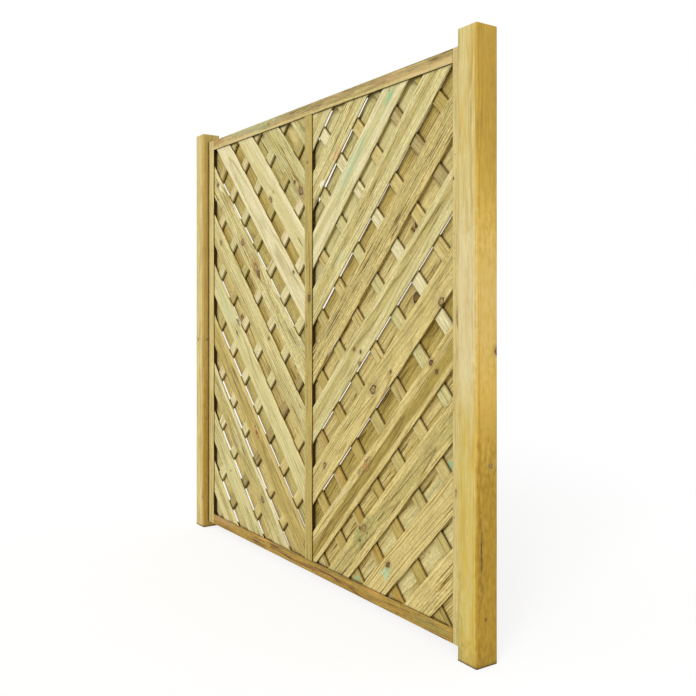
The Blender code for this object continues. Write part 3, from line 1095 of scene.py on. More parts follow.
SLAT_LOOKS = {
    "left_front": (
        Look(PALE, OLIVE, 10, 16, 0.9, -60, 30, ring=8, marks=(Knot(225, 58, 3, DARK),)),
        Look(SAGE, PALE, 18, 12, 0.8, 10, 60, hairs=0.5, marks=(Knot(226, 303, 3, DARK),)),
        Look(OLIVE, CREAM, 38, 9, 1, -20, 40, 0.03, hairs=0.7, marks=(Knot(530, 230, 11, RING),)),
        Look(FAWN, HONEY, 38, 11, 0.9, 5, 50, hairs=0.5, marks=(
            Knot(476, 506, 6), Knot(462, 530, 3.5), Knot(492, 488, 3),
            Patch(475, 505, 14, 38, ORANGE, 0.4, 1.1),
        )),
        Look(PALE, SAGE, 0, 15, 0.6, 30, 55, 0.02, 10, 0.5, 0.35, marks=(
            Knot(289, 930, 4, DARK), Patch(170, 1050, 34, 120, GREEN, 0.5, 0.7),
            Patch(303, 975, 9, 24, CRACK, 0.85, 1.4), Patch(290, 926, 6, 22, WANE, 0.9, 1.3),
            Patch(296, 950, 6, 34, MOSS, 0.6, 1.2),
        )),
        Look(PALE, OLIVE, -34, 12, 0.8, -120, 30, 0.02, 10, 0.7, 0.7, marks=(
            Knot(125, 1340, 8, RING), Knot(585, 912, 5, DARK), Patch(830, 665, 2.6, 42, CRACK, 0.9, 0.3),
        )),
        Look(PALE, OLIVE, 4, 11, 0.6, 30, 35, 0.03, 9, 0.8, 1, marks=(
            Knot(345, 1330, 12, RING), Knot(470, 1212, 15, LIGHT), Knot(493, 1189, 5, DARK),
            Knot(92, 1612, 7, DARK), Patch(440, 1235, 20, 70, ORANGE, 0.3, 0.8),
            Patch(785, 920, 2.4, 115, CRACK, 0.9, 0.25), Patch(118, 1596, 8, 26, CHALK, 0.9),
        )),
        Look(CREAM, ROSE, 6, 18, 0.4, 0, 80, 0.02, 11, 0.45, 0.3, marks=(
            Knot(790, 1182, 5, DARK), Patch(530, 1400, 22, 40, MOSS, 0.22, 0.9),
        )),
        Look(PALE, CREAM, 34, 14, 0.9, -20, 60, 0.02, 10, 0.5, 0.4, marks=(
            Knot(600, 1490, 10, RING), Knot(622, 1520, 4, LIGHT), Patch(840, 1300, 3, 32, CRACK, 0.9, 0.3),
        )),
        Look(SAGE, OLIVE, -20, 24, 0.8, 20, 30, 0.02, 9, 0.8, marks=(
            Knot(846, 1500, 13, RING), Knot(800, 1540, 4, DARK), Patch(700, 1640, 10, 60, GREEN, 0.5, 0.7),
        )),
        Look(SAGE, OLIVE, 4, 18, 0.8, -90, 30, 0.02, 8, 0.8, 0.8, marks=(
            Patch(860, 1735, 8, 34, MOSS, 0.6, 0.8),
        )),
    ),
    "left_back": (
        Look(PALE, SAGE, 0, 14, 0.5, 10, 60),
        Look(PALE, FAWN, 0, 10, 0.8, 30, 40, hairs=0.8),
        Look(HONEY, FAWN, 14, 12, 0.8, -60, 40, hairs=0.7),
        Look(HONEY, UMBER, 30, 14, 0.9, 10, 30, hairs=0.7),
        Look(OLIVE, PALE, 32, 18, 0.9, -80, 30),
        Look(HONEY, FAWN, 30, 12, 0.7, 0, 40, 0.03, 9, 0.8, 0.8, marks=(
            Knot(322, 985, 12, RING), Knot(300, 1004, 4, DARK),
        )),
        Look(HONEY, FAWN, -26, 18, 0.8, 60, 40, 0.02, 9, 0.8, 0.8, marks=(
            Knot(785, 811, 11, RING), Knot(800, 775, 4, DARK),
        )),
        Look(OLIVE, FAWN, 10, 20, 0.8, -30, 30, 0.03, 9, 0.7, 0.8),
        Look(FAWN, OLIVE, 20, 12, 0.6, 0, 40),
        Look(SAGE, OLIVE, -20, 16, 0.8, 40, 40),
        Look(HONEY, OLIVE, -24, 14, 0.8, 10, 50),
    ),
    "right_front": (
        Look(STRAW, HONEY, 18, 14, 0.8, -130, 30, 0.02, 11, 0.7, 0.8),
        Look(STRAW, HONEY, 34, 13, 0.7, 110, 30, 0.03, 11, 1, marks=(
            Knot(1416, 178, 8, DARK), Knot(1180, -50, 6), Patch(1404, 148, 17, 34, MINT, 0.9, 1.2),
            Patch(1404, 150, 8, 16, TEAL, 0.25, 1.2),
        )),
        Look(STRAW, OLIVE, 2, 25, 1, 20, 25, 0.05, 10, 0.8, 0.8, 0.02, marks=(
            Knot(1275, 270, 11, LIGHT), Knot(1256, 262, 4, DARK), Knot(1247, 226, 4, DARK),
            Knot(1290, 262, 3, DARK), Patch(1268, 258, 32, 74, MOSS, 0.55, 1.1),
            Patch(1375, 331, 2.4, 32, CRACK, 0.9, 0.4),
        )),
        Look(STRAW, UMBER, 8, 20, 1, 0, 30, 0.03, 11, 0.7, marks=(
            Knot(1640, 868, 7, DARK), Knot(1668, 842, 6, DARK), Patch(1286, 488, 20, 50, WANE, 0.6, 1.2),
            Patch(1300, 516, 5, 15, CRACK, 0.8, 1.6), Patch(1272, 470, 5, 16, CRACK, 0.75, 1.6),
            Patch(1284, 486, 12, 30, ORANGE, 0.35, 1.2), Patch(1120, 350, 6, 120, CHALK, 0.25, 0.7),
        )),
        Look(STRAW, OLIVE, -18, 12, 0.7, 25, 22, 0.05, 10, 0.9, 0.7, marks=(
            Knot(1690, 1060, 11, RING), Knot(1330, 760, 13, RING), Knot(1020, 450, 9, RING),
            Knot(1430, 828, 4, DARK),
        )),
        Look(PALE, OLIVE, -9, 17, 0.9, 0, 50, 0.03, marks=(
            Knot(1215, 893, 5, DARK), Knot(1256, 886, 5, DARK), Knot(1250, 846, 7, RING),
        )),
        Look(HONEY, OLIVE, -9, 19, 0.7, 150, 30, 0.01, 9, 0.8, 1.1, marks=(
            Patch(1455, 1296, 3, 36, CRACK, 0.95, 0.3), Patch(1085, 900, 8, 60, CHALK, 0.4, 0.6),
        )),
        Look(PALE, OLIVE, -9, 16, 0.9, -60, 40, 0.02, 9, 0.7, 0.8, marks=(
            Patch(1258, 1394, 2.6, 30, CRACK, 0.95, 0.4), Patch(1120, 1225, 12, 46, GREEN, 0.5, 0.8),
        )),
        Look(CREAM, SAGE, -8, 17, 1, 40, 60, 0.02, 10, 0.6, 0.5, marks=(
            Patch(1420, 1745, 13, 34, TEAL, 0.75, 0.9), Patch(1422, 1768, 3, 5, CRACK, 0.6, 0.6),
            Patch(1208, 1560, 26, 150, MINT, 0.4, 0.8), Patch(1185, 1535, 9, 50, TEAL, 0.2, 0.8),
        )),
        Look(PALE, OLIVE, 4, 10, 0.8, 130, 30, 0.02, 10, 1, 1.1, marks=(
            Patch(1110, 1606, 18, 46, ORANGE, 0.4, 0.8), Patch(1002, 1508, 12, 16, CHALK, 0.95, 0.9),
        )),
        Look(PALE, OLIVE, 2, 13, 0.9, -40, 50),
    ),
    "right_back": (
        Look(STRAW, FAWN, 0, 12, 0.7, 60, 30, 0.02, 9, 1),
        Look(PALE, HONEY, 20, 12, 0.6, 20, 50, hairs=0.8),
        Look(HONEY, SAGE, 12, 14, 0.8, hairs=0.8, marks=(Patch(1714, 553, 17, 30, TEAL, 0.75),)),
        Look(HONEY, FAWN, 10, 12, 0.8, 30, 30, 0.03, 9, 0.8, 0.8),
        Look(FAWN, UMBER, -16, 15, 0.9, -30, 35, 0.03, 9, 0.8, 0.8, marks=(
            Knot(1130, 405, 10, DARK), Knot(1560, 810, 8, RING),
        )),
        Look(HONEY, OLIVE, 10, 12, 0.8, 0, 30, 0.03, 9, 0.7, 0.7, marks=(Knot(1545, 1075, 13, DARK),)),
        Look(HONEY, PALE, 26, 14, 0.9, 0, 40, 0.03, 9, 0.7, 0.8, marks=(
            Knot(1555, 1318, 14, DARK), Knot(1528, 1294, 4, DARK),
        )),
        Look(HONEY, FAWN, -24, 20, 0.9, 50, 35, 0.03, 9, 0.8, 0.8),
        Look(PALE, SAGE, -6, 10, 0.8, 0, 60),
        Look(SAGE, OLIVE, 0, 12, 0.9, 70, 30, 0.02, 9, 0.9, 1),
        Look(PALE, SAGE, 0, 16, 0.6, 0, 70),
    ),
}

# How far a slat is pushed up, in millimetres, at its outer end, its middle and its end at the mullion.
SLAT_SWAYS = {
    "left_back_slat_02": (-1.5, -1.5, -1.5),
    "left_back_slat_03": (-1.0, -2.0, -2.0),
    "left_back_slat_04": (0.5, -2.2, -7.0),
    "left_back_slat_05": (-1.5, -2.6, -6.5),
    "left_back_slat_06": (3.0, -7.0, -6.5),
    "left_back_slat_08": (0.0, 0.6, -5.5),
    "right_back_slat_05": (6.5, 1.2, -2.6),
    "right_back_slat_06": (2.5, 1.2, 1.0),
    "right_back_slat_08": (7.5, 5.0, -1.0),
    "right_back_slat_09": (2.0, 2.2, 2.0),
    "right_back_slat_10": (4.0, 4.5, -3.0),
    "right_back_slat_11": (4.0, 4.0, 4.0),
}

# Each batten's main colours, and how far it lies from its even place, as a share of the gap beside it.
BATTENS = {
    Side.LEFT: (
        (HONEY, -0.02), (STRAW, 0.0), (HONEY, -0.08), (TAUPE, -0.06), (PALE, -0.12), (CREAM, -0.09),
        (ROSE, -0.08), (OLIVE, -0.05), (SAGE, -0.04), (HONEY, -0.03), (FAWN, -0.15),
    ),
    Side.RIGHT: (
        (FAWN, 0.04), (FAWN, 0.04), (AMBER, 0.02), (FAWN, 0.02), (OLIVE, 0.04), (HONEY, 0.07),
        (SAGE, 0.13), (CREAM, 0.11), (STRAW, 0.02), (TAUPE, -0.01), (FAWN, -0.03),
    ),
}
BATTEN_MARKS = {"right_batten_02": (Patch(1222, 78, 19, 15, TEAL, 0.7, 0.9),)}

# What a board is given by chance: the colours of its heart band, and the ranges of that band's place, width
# and strength, and of its pith, depth, drift, ring width and contrast.
CHANCE_HEARTS = (CREAM, ROSE, PALE, HONEY, FAWN)
CHANCE_RANGES = ((-25, 25), (6, 14), (0.2, 0.7), (-40, 40), (18, 70), (-0.03, 0.03), (7, 10), (0.15, 0.5))

SLAT_SLOTS = ("slat_pine_pale", "slat_pine_olive", "slat_pine_cream", "slat_pine_golden")

# Posts and frame

# Signs of a section's corners, anticlockwise.
CORNERS = ((-1, -1), (1, -1), (1, 1), (-1, 1))


def worn_radii(radius: float, places: np.ndarray, pitch: float, moving: float, name: str) -> np.ndarray:
    """Radii of a member's four arrises, each changing slowly along it, as a moulding head leaves them.

    Args:
        radius: The full radius, which none of them passes.
        places: Where they are read along the member, in metres.
        pitch: Distance over which they change.
        moving: The share of the radius that changes.
        name: The name that their random lines come from.

    Returns:
        One row for a place, and one column for an arris.
    """
    rng = name_rng(name)
    lines = np.stack([smooth_line(places, pitch, rng) for _ in CORNERS], axis=-1)
    return radius * (1.0 - moving + moving * lines)


def rounded_corners(
    half_x: float | np.ndarray, half_y: float | np.ndarray, radii: np.ndarray, steps: int,
    corners: tuple[tuple[int, int], ...] = CORNERS,
) -> list[np.ndarray]:
    """Round the corners of a rectangle at each place along a member.

    Each is a quarter circle about a centre that lies its radius inside both edges.

    Args:
        half_x: Half the rectangle's first size, one number or a column with a row for a place.
        half_y: Half its second size, in the same way.
        radii: The corners' radii, one row for a place.
        steps: Steps of a corner.
        corners: The signs of the corners' coordinates, anticlockwise.

    Returns:
        The points of each corner, by place and place in the corner.
    """
    turn = corner_turn(steps)
    runs = []
    for (sx, sy), radius in zip(corners, radii.T[..., None]):
        angle = turn if sx * sy > 0 else turn[::-1]
        u = sx * (half_x - radius + radius * np.cos(angle))
        w = sy * (half_y - radius + radius * np.sin(angle))
        runs.append(np.stack((u, w), axis=-1))
    return runs


@dataclass(frozen=True)
class Posts:
    """The two square posts.

    Attributes:
        groups: The shared node groups of pine.
        arris: Radius of the long arrises.
        end_arris: Radius of the sawn ends' arrises.
        steps: Steps of an arris.
        wave: Distance over which an arris changes.
        moving: The share of its radius that changes.
        seed: What the sign of a post's side is added to, for its own number.
    """

    groups: PineGroups
    arris: float = 0.006
    end_arris: float = 0.0015
    steps: int = 8
    wave: float = 0.12
    moving: float = 0.2
    seed: float = 3.0

    def rings(self, name: str) -> np.ndarray:
        """Work out a post's surface: a square with rounded corners, carried up the post.

        Args:
            name: The post's CAD node.

        Returns:
            The points, by ring, place in the ring, and coordinate.
        """
        low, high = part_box(name)
        height, inset = eased_ends(low.z, high.z, self.end_arris)
        half = ((high.x - low.x) / 2 - inset)[:, None]
        radii = worn_radii(self.arris, height, self.wave, self.moving, name)
        runs = rounded_corners(half, half, radii, self.steps, CORNERS[2:] + CORNERS[:2])
        flat = np.concatenate(runs, axis=1) + np.array(((low.x + high.x) / 2, (low.y + high.y) / 2))
        tall = np.broadcast_to(height[:, None, None], flat.shape[:2] + (1,))
        return np.concatenate((flat, tall), axis=-1)

    def build(self) -> None:
        """Build and dress both posts."""
        for side in Side:
            name = f"{side.label}_post"
            low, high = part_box(name)
            item = loft(f"{name}_wood", self.rings(name))
            seed = self.seed + side.value
            finish = TreatedPine(self.groups, FRAME_LOOKS[name], 0.0, tuple((low + high) / 2), seed)
            dress(item, finish, "post_pine", name)


class Run(Enum):
    """Which way a frame member runs, with the coordinate across its face."""

    UPRIGHT = 0
    LEVEL = 2


@dataclass(frozen=True)
class Tenon:
    """A stub tenon at both ends of a member.

    Attributes:
        length: How far it stands out of the shoulder.
        low: Its lowest place across and through.
        high: Its highest place across and through.
    """

    length: float
    low: tuple[float, float]
    high: tuple[float, float]


@dataclass(frozen=True)
class Member:
    """A grooved member of the frame.

    Attributes:
        node: The CAD node that it stands for.
        seed: Its own number.
        run: Which way it runs.
        at: X of its centre line if it is upright, or Z if it is level.
        inward: The sign of the direction across it that leads to its groove, or 0 for two grooves.
        span: Where its ends or shoulders lie along its length.
        width: Width of its face.
        dirt: How far from the panel's middle plane the painted shade of a groove reaches.
        tenon: Its tenons, if it has any.
        depth: Depth from front to back.
        arris: Radius of the outer arrises.
        steps: Steps of an arris.
        wave: Distance over which an arris changes.
        moving: The share of its radius that changes.
        end_arris: Radius of the arrises of a sawn end.
        shoulder_arris: Radius of the arrises of a shoulder.
    """

    node: str
    seed: float
    run: Run
    at: float
    inward: int
    span: tuple[float, float]
    width: float
    dirt: float
    tenon: Tenon | None = None
    depth: float = 0.034
    arris: float = 0.002
    steps: int = 5
    wave: float = 0.09
    moving: float = 0.25
    end_arris: float = 0.0008
    shoulder_arris: float = 0.0001

    def outline(self, radii: np.ndarray) -> np.ndarray:
        """Work out the section's outline at each place along the member.

        Each outer corner is rounded, and a groove is cut square into the edge between two corners: into
        the edge at the positive end of the width, or into both edges.

        Args:
            radii: The radius of the four arrises at each place, one row for a place.

        Returns:
            The points across and through, by place and place in the outline.
        """
        half, lip = self.width / 2, GROOVE_WIDTH / 2
        floor = half - GROOVE_DEPTH
        runs = rounded_corners(half, self.depth / 2, radii, self.steps)
        points = np.array([(half, -lip), (floor, -lip), (floor, lip), (half, lip)])
        groove = np.broadcast_to(points, (len(radii), 4, 2))
        parts = [*runs[:2], groove, *runs[2:]] + ([] if self.inward else [-groove])
        return np.concatenate(parts, axis=1)

    def rings(self, name: str) -> np.ndarray:
        """Carry the section along the member's length, with its tenons.

        At a shoulder the section is repeated with every point brought inside the tenon's rectangle, so
        the shoulder and the tenon are part of the same surface.

        Args:
            name: The name that the arrises' random lines come from.

        Returns:
            The points, by ring, place in the ring, and coordinate.
        """
        places, inset = eased_ends(*self.span, self.shoulder_arris if self.tenon else self.end_arris)
        outline = self.outline(worn_radii(self.arris, places, self.wave, self.moving, name))
        outline = outline * (1.0 - inset / (self.depth / 2))[:, None, None]
        if self.tenon:
            first, last = np.clip(outline[[0, -1]], self.tenon.low, self.tenon.high)[:, None]
            outline = np.concatenate((first, first, outline, last, last))
            low, high = self.span
            ends = (low - self.tenon.length, low), (high, high + self.tenon.length)
            places = np.concatenate((ends[0], places, ends[1]))
        rings = np.empty(outline.shape[:2] + (3,))
        rings[..., self.run.value] = self.at + (self.inward or 1) * outline[..., 0]
        rings[..., 1] = outline[..., 1]
        rings[..., 2 - self.run.value] = places[:, None]
        return rings

    def line_grooves(self, item: Item) -> None:
        """Give the faces inside the member's grooves their own finish, which paints their shade nearly
        black.

        A face gets it where its middle is within the painted shade's reach of the panel's middle plane,
        on the inner half of the member.

        Args:
            item: The dressed member.
        """
        polygons = item.data.polygons
        centres = np.empty(len(polygons) * 3)
        polygons.foreach_get("center", centres)
        through, across = centres[1::3], centres[self.run.value::3]
        inner = (across - (across.min() + across.max()) / 2) * self.inward >= 0.0
        # Painted shade: faces in the groove, and on the lips within reach, get the nearly black groove
        # finish.
        item.data.materials.append(SawnGroove().material(f"SawnGroove_{item.name}"))
        polygons.foreach_set("material_index", (inner & (np.abs(through) < self.dirt)).astype(np.int32))

    def build(self, groups: PineGroups) -> None:
        """Build and dress the member.

        Args:
            groups: The shared node groups of pine.
        """
        name = f"{self.node}_wood"
        item = loft(name, self.rings(name))
        middle = sum(self.span) / 2
        level = self.run is Run.LEVEL
        centre = (middle, 0.0, self.at) if level else (self.at, 0.0, middle)
        finish = TreatedPine(groups, FRAME_LOOKS[self.node], 90.0 if level else 0.0, centre, self.seed)
        dress(item, finish, "frame_pine", self.node)
        self.line_grooves(item)


@dataclass(frozen=True)
class Framework:
    """The grooved frame: two stiles, two rails and the mullion.

    Attributes:
        groups: The shared node groups of pine.
        rail_height: Height of a rail.
        stile_width: Width of a stile.
        mullion_width: Width of the mullion.
        mullion_x: X of the mullion's centre line.
        gap: Clearance of a joint.
        tenon: Length of a stub tenon.
        tenon_inset: How far a rail's tenon keeps from its outer edge.
        dirty_lip: How far from the middle plane a groove's painted shade reaches where it takes in the lips.
        clean_lip: How far it reaches past the groove's own edge where the lips are left unshaded.
        seeds: The members' own numbers: what the sign of a stile's side is added to, the two rails' and
            the mullion's.
    """

    groups: PineGroups
    rail_height: float = 0.044
    stile_width: float = 0.052
    mullion_width: float = 0.052
    mullion_x: float = 0.008
    gap: float = 0.0003
    tenon: float = 0.0117
    tenon_inset: float = 0.002
    dirty_lip: float = 0.0155
    clean_lip: float = 0.0001
    seeds: tuple[float, ...] = (7.0, 11.0, 12.0, 14.0)

    def build(self) -> dict[Side, Opening]:
        """Build and dress the frame.

        Returns:
            The opening on each side.
        """
        low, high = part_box("left_stile")
        edge, bottom, top = abs(high.x), low.z, high.z
        stile_seed, top_seed, bottom_seed, mullion_seed = self.seeds
        members = []
        for side in Side:
            node = f"{side.label}_stile"
            low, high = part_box(node)
            members.append(Member(
                node, stile_seed + side.value, Run.UPRIGHT, (low.x + high.x) / 2, -side.value, (bottom, top),
                self.stile_width, self.dirty_lip,
            ))

        length, half = self.tenon + self.gap, self.rail_height / 2
        cheek = GROOVE_WIDTH / 2 - self.gap
        tenon = Tenon(length, (-half + self.tenon_inset, -cheek), (half - GROOVE_DEPTH, cheek))
        span = (-edge + self.gap, edge - self.gap)
        # The bottom rail's lips face up and are left unshaded; the other members' lips get the groove's
        # painted shade.
        unshaded = GROOVE_WIDTH / 2 + self.clean_lip
        members += [
            Member(node, seed, Run.LEVEL, at, inward, span, self.rail_height, dirt, tenon)
            for node, seed, at, inward, dirt in (
                ("top_rail", top_seed, top - half, -1, self.dirty_lip),
                ("bottom_rail", bottom_seed, bottom + half, 1, unshaded),
            )
        ]

        base, tall = bottom + self.rail_height, top - bottom - 2 * self.rail_height
        web = self.mullion_width / 2 - GROOVE_DEPTH - self.gap
        tenon = Tenon(length, (-web, -cheek + self.gap), (web, cheek - self.gap))
        members.append(Member(
            "mullion", mullion_seed, Run.UPRIGHT, self.mullion_x, 0,
            (base + self.gap, base + tall - self.gap), self.mullion_width, self.dirty_lip, tenon,
        ))
        for member in members:
            member.build(self.groups)
        return {
            side: Opening(
                side, side.value * edge, self.mullion_x + side.value * self.mullion_width / 2, base, tall
            )
            for side in Side
        }


# Slats and battens


@dataclass(frozen=True)
class Lattice:
    """The slats and battens of one bay.

    Attributes:
        groups: The shared node groups of pine.
        opening: The bay's opening.
        slat_width: Width of a slat.
        slat_thickness: Thickness of a slat.
        slat_depth: How far a slat's middle plane lies from the panel's.
        batten_width: Width of a batten.
        batten_thickness: Thickness of a batten.
        batten_arris: Radius of a batten's eased long edges.
        batten_share: Where the first batten lies, as a share of one step.
        count: Boards in each layer.
        pale_edge: How much paler the front slats are painted along their long edges, a painted highlight, as
            a share.
        slat_seeds: The first slat's own number, and what each next one, the right bay and the back layer
            add to it.
        batten_seeds: The first batten's own number, and what each next one and the right bay add to it.
    """

    groups: PineGroups
    opening: Opening
    slat_width: float = 0.096
    slat_thickness: float = 0.006
    slat_depth: float = 0.0093
    batten_width: float = 0.045
    batten_thickness: float = 0.012
    batten_arris: float = 0.001
    batten_share: float = 0.26
    count: int = 11
    pale_edge: float = 0.05
    slat_seeds: tuple[float, ...] = (20.0, 1.7, 40.0, 80.0)
    batten_seeds: tuple[float, ...] = (200.0, 1.3, 30.0)

    def slat(self, name: str, layer: Layer) -> DiagonalBoard:
        """Read a slat's place from its CAD node.

        Its centre line lies half its width inside the long edge that no corner of the bay has cut.

        Args:
            name: The CAD node.
            layer: The slat's layer.

        Returns:
            The board.
        """
        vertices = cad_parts[name].data.vertices
        points = np.empty(len(vertices) * 3)
        vertices.foreach_get("co", points)
        bay, outward = self.opening, -self.opening.side.value
        reach = ((points[::3] - bay.outer) * outward + points[2::3] - bay.base) / ROOT_TWO
        low, high, half = float(reach.min()), float(reach.max()), self.slat_width / 2
        distance = high - half if low < bay.climb / 2 else low + half
        return DiagonalBoard(
            bay, bay.outer, outward, distance, layer.value * self.slat_depth, self.slat_width,
            self.slat_thickness, sway=tuple(push * MM for push in SLAT_SWAYS.get(name, (0.0, 0.0, 0.0))),
        )

    def batten(self, index: int, slip: float) -> DiagonalBoard:
        """Work out a batten's place from its step, as the CAD does.

        Args:
            index: Its number, counted from the mullion's lower corner.
            slip: How far it lies from its even place, as a share of the gap beside it.

        Returns:
            The board.
        """
        step = self.opening.climb / self.count
        distance = step * (index + self.batten_share) + (step - self.batten_width) * slip
        return DiagonalBoard(
            self.opening, self.opening.inner, self.opening.side.value, distance, 0.0, self.batten_width,
            self.batten_thickness, self.batten_arris, cup=0.0,
        )

    def chance_look(self, name: str, tone: Tone) -> Look:
        """A figure for a board that has none of its own, drawn from its name.

        Args:
            name: The board's name.
            tone: The board's main colours.

        Returns:
            The figure.
        """
        rng = name_rng(name + " look")
        heart = CHANCE_HEARTS[int(rng.integers(len(CHANCE_HEARTS)))]
        drawn = (float(rng.uniform(low, high)) for low, high in CHANCE_RANGES)
        return Look(tone, heart, *drawn, marks=BATTEN_MARKS.get(name, ()))

    def build(self) -> None:
        """Build and dress the slats and battens of the bay."""
        side = self.opening.side
        right = side is Side.RIGHT
        first, step, bay, behind = self.slat_seeds
        for layer in Layer:
            for index, look in enumerate(SLAT_LOOKS[f"{side.label}_{layer.label}"]):
                node = f"{side.label}_{layer.label}_slat_{index + 1:02d}"
                seed = first + index * step + bay * right + behind * (layer is Layer.BACK)
                # Only the front slats get the painted highlight along their long edges.
                pale_edge = self.pale_edge if layer is Layer.FRONT else 0.0
                item, finish = self.slat(node, layer).build(node, self.groups, look, seed, pale_edge)
                dress(item, finish, SLAT_SLOTS[(index + right) % len(SLAT_SLOTS)], node)
        corner = self.opening.height / ROOT_TWO
        first, step, bay = self.batten_seeds
        for index, (tone, slip) in enumerate(BATTENS[side]):
            name = f"{side.label}_batten_{index + 1:02d}"
            board = self.batten(index, slip)
            seed = first + index * step + bay * right
            item, finish = board.build(name, self.groups, self.chance_look(name, tone), seed)
            dress(item, finish, "frame_pine", "mullion" if board.distance < corner else "top_rail")


# Fixings


@dataclass(frozen=True)
class Fixings:
    """The screws in the stiles, and the pins at the frame's corners.

    Attributes:
        pin_radius: Radius of a pin's head.
        pin_height: How far a pin's head stands proud of the wood.
        pin_shank: How far its shank reaches into the wood.
        pin_tip: Radius at which the dome is closed.
        pin_steps: Steps of the dome from its rim to its top.
        pin_sides: Steps round a pin.
        insets: Distances of the two pins from the stile's inner edge.
        end_inset: Distance of the pins from the stile's end.
    """

    pin_radius: float = 0.0022
    pin_height: float = 0.0004
    pin_shank: float = 0.001
    pin_tip: float = 1e-5
    pin_steps: int = 4
    pin_sides: int = 16
    insets: tuple[float, ...] = (0.008, 0.020)
    end_inset: float = 0.012

    def pin(self, name: str, x: float, y: float, z: float) -> Item:
        """Build one domed pin head, standing out of a face towards the front.

        The dome is a quarter ellipse turned about the pin's axis, with a short shank into the wood.

        Args:
            name: The piece's name.
            x: X of its axis.
            y: Y of the face that it stands in.
            z: Z of its axis.

        Returns:
            The piece.
        """
        turn = corner_turn(self.pin_steps)[1:-1]
        radius = np.concatenate(([self.pin_radius] * 2, self.pin_radius * np.cos(turn), [self.pin_tip]))
        stand = np.concatenate(([self.pin_shank, 0.0], -self.pin_height * np.sin(turn), [-self.pin_height]))
        angle = np.linspace(0.0, 2 * np.pi, self.pin_sides + 1)[:-1]
        flat = x + radius[:, None] * np.cos(angle), z + radius[:, None] * np.sin(angle)
        deep = np.broadcast_to(y + stand[:, None], flat[0].shape)
        return loft(name, np.stack((flat[0], deep, flat[1]), axis=-1))

    def build(self) -> None:
        """Dress the screws, and build the pins."""
        steel = ZincPlatedSteel()
        shared = steel.material("ZincPlatedSteel_screws")
        for name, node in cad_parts.items():
            if "screw" in name:
                node.data.materials.clear()
                node.data.materials.append(shared)
                LOG.info("%s: plated steel", name)
        for side in Side:
            low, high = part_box(f"{side.label}_stile")
            inner = high.x if side is Side.LEFT else low.x
            for end, height in (("top", high.z - self.end_inset), ("foot", low.z + self.end_inset)):
                for number, inset in enumerate(self.insets):
                    name = f"{side.label}_{end}_pin_{number + 1}"
                    item = self.pin(name, inner + side.value * inset, low.y, height)
                    dress(item, steel, "screw_steel")


# Stage, lamps and camera


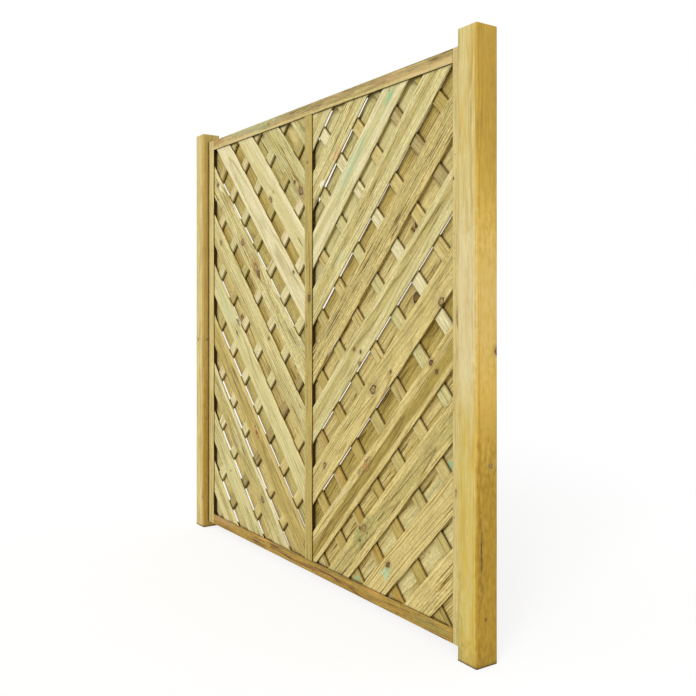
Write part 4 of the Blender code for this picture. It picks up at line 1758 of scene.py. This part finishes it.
@dataclass(frozen=True)
class Studio:
    """A plain pale floor, a white surround, a soft lamp and the camera.

    Attributes:
        sky: Strength of the white surround as a lamp.
        sun: Strength of the soft lamp.
        sun_width: Its width, in degrees.
        sun_turn: Its turn, in degrees, which sets it up high to the front right.
        floor_size: Half the floor's size.
        floor_tint: The colour that the floor throws up at the object.
        floor_glow: How much of the floor's seen white is its own, which leaves the rest to the shadow.
        sensor: Width of the camera's sensor, in millimetres.
        lens: Its focal length, in millimetres.
        rise: The shift that lowers the panel's feet into the photograph's frame.
        reach: The nearest and the farthest that it sees.
        eye: Where it stands.
        heading: Its turn about the vertical, in degrees. It is level.
    """

    sky: float = 0.76
    sun: float = 1.85
    sun_width: float = 30.0
    sun_turn: Point = (60.0, 0.0, 36.0)
    floor_size: float = 14.0
    floor_tint: str = "B4B4B0"
    floor_glow: float = 0.72
    sensor: float = 36.0
    lens: float = 43.30
    rise: float = -0.0586
    reach: tuple[float, float] = (0.05, 60.0)
    eye: Point = (2.7692, -1.6947, 1.043)
    heading: float = 90.0 - 34.011

    def add(self, name: str, data: bpy.types.ID) -> Item:
        """Put a mesh, lamp or camera into the scene.

        Args:
            name: The object's name.
            data: What it shows.

        Returns:
            The object.
        """
        item = bpy.data.objects.new(name, data)
        bpy.context.scene.collection.objects.link(item)
        return item

    def build_world(self) -> None:
        """Light the object evenly from all round, and show white behind it."""
        world = bpy.data.worlds.new("white_surround")
        bpy.context.scene.world = world
        tree = clear_tree(world)
        lit = add_node(tree, "Background", WHITE, self.sky)
        white = add_node(tree, "Background", WHITE, 1.0)
        add_node(tree, "OutputWorld", add_node(tree, "MixShader", add_seen_rays(tree), lit, white))

    def build_floor(self) -> None:
        """Lay the floor under the posts.

        It shows white and keeps the object's shadow, and throws less light up than it shows.
        """
        size = self.floor_size
        corners = [(size * x, size * y, 0.0) for x, y in CORNERS]
        mesh = bpy.data.meshes.new("floor")
        mesh.from_pydata(corners, [], [(0, 1, 2, 3)])
        made = bpy.data.materials.new("pale_painted_floor")
        tree = clear_tree(made)
        seen = add_seen_rays(tree)
        tint = add_node(tree, "Mix RGBA", seen, hex_linear(self.floor_tint), WHITE)
        paint = add_node(tree, "BsdfDiffuse", tint, 0.0)
        glow = add_node(tree, "Emission", WHITE, 1.0)
        share = add_node(tree, "Math MULTIPLY", seen, self.floor_glow)
        add_node(tree, "OutputMaterial", add_node(tree, "MixShader", share, paint, glow))
        mesh.materials.append(made)
        self.add("floor", mesh)

    def build_lamp(self) -> None:
        """Hang one soft lamp far up to the front right."""
        light = bpy.data.lights.new("soft_lamp", "SUN")
        light.energy = self.sun
        light.angle = math.radians(self.sun_width)
        self.add("soft_lamp", light).rotation_euler = [math.radians(turn) for turn in self.sun_turn]

    def build_camera(self) -> None:
        """Set the camera where the photograph was taken from: level, to the front right."""
        data = bpy.data.cameras.new("camera")
        data.sensor_width = self.sensor
        data.lens = self.lens
        data.shift_y = self.rise
        data.clip_start, data.clip_end = self.reach
        camera = self.add("camera", data)
        camera.location = self.eye
        camera.rotation_euler = (math.pi / 2, 0.0, math.radians(self.heading))
        bpy.context.scene.camera = camera

    def build(self) -> None:
        """Build the surround, the floor, the lamp and the camera."""
        self.build_world()
        self.build_floor()
        self.build_lamp()
        self.build_camera()
        bpy.context.scene.view_settings.view_transform = "Standard"


# The whole panel


def main() -> None:
    """Build the panel's sub-assemblies in order, then its surroundings."""
    logging.basicConfig(level=logging.INFO, format="%(name)s: %(message)s")
    groups = PineGroups()
    Posts(groups).build()
    openings = Framework(groups).build()
    for opening in openings.values():
        Lattice(groups, opening).build()
    Fixings().build()
    Studio().build()


if __name__ == "__main__":
    main()
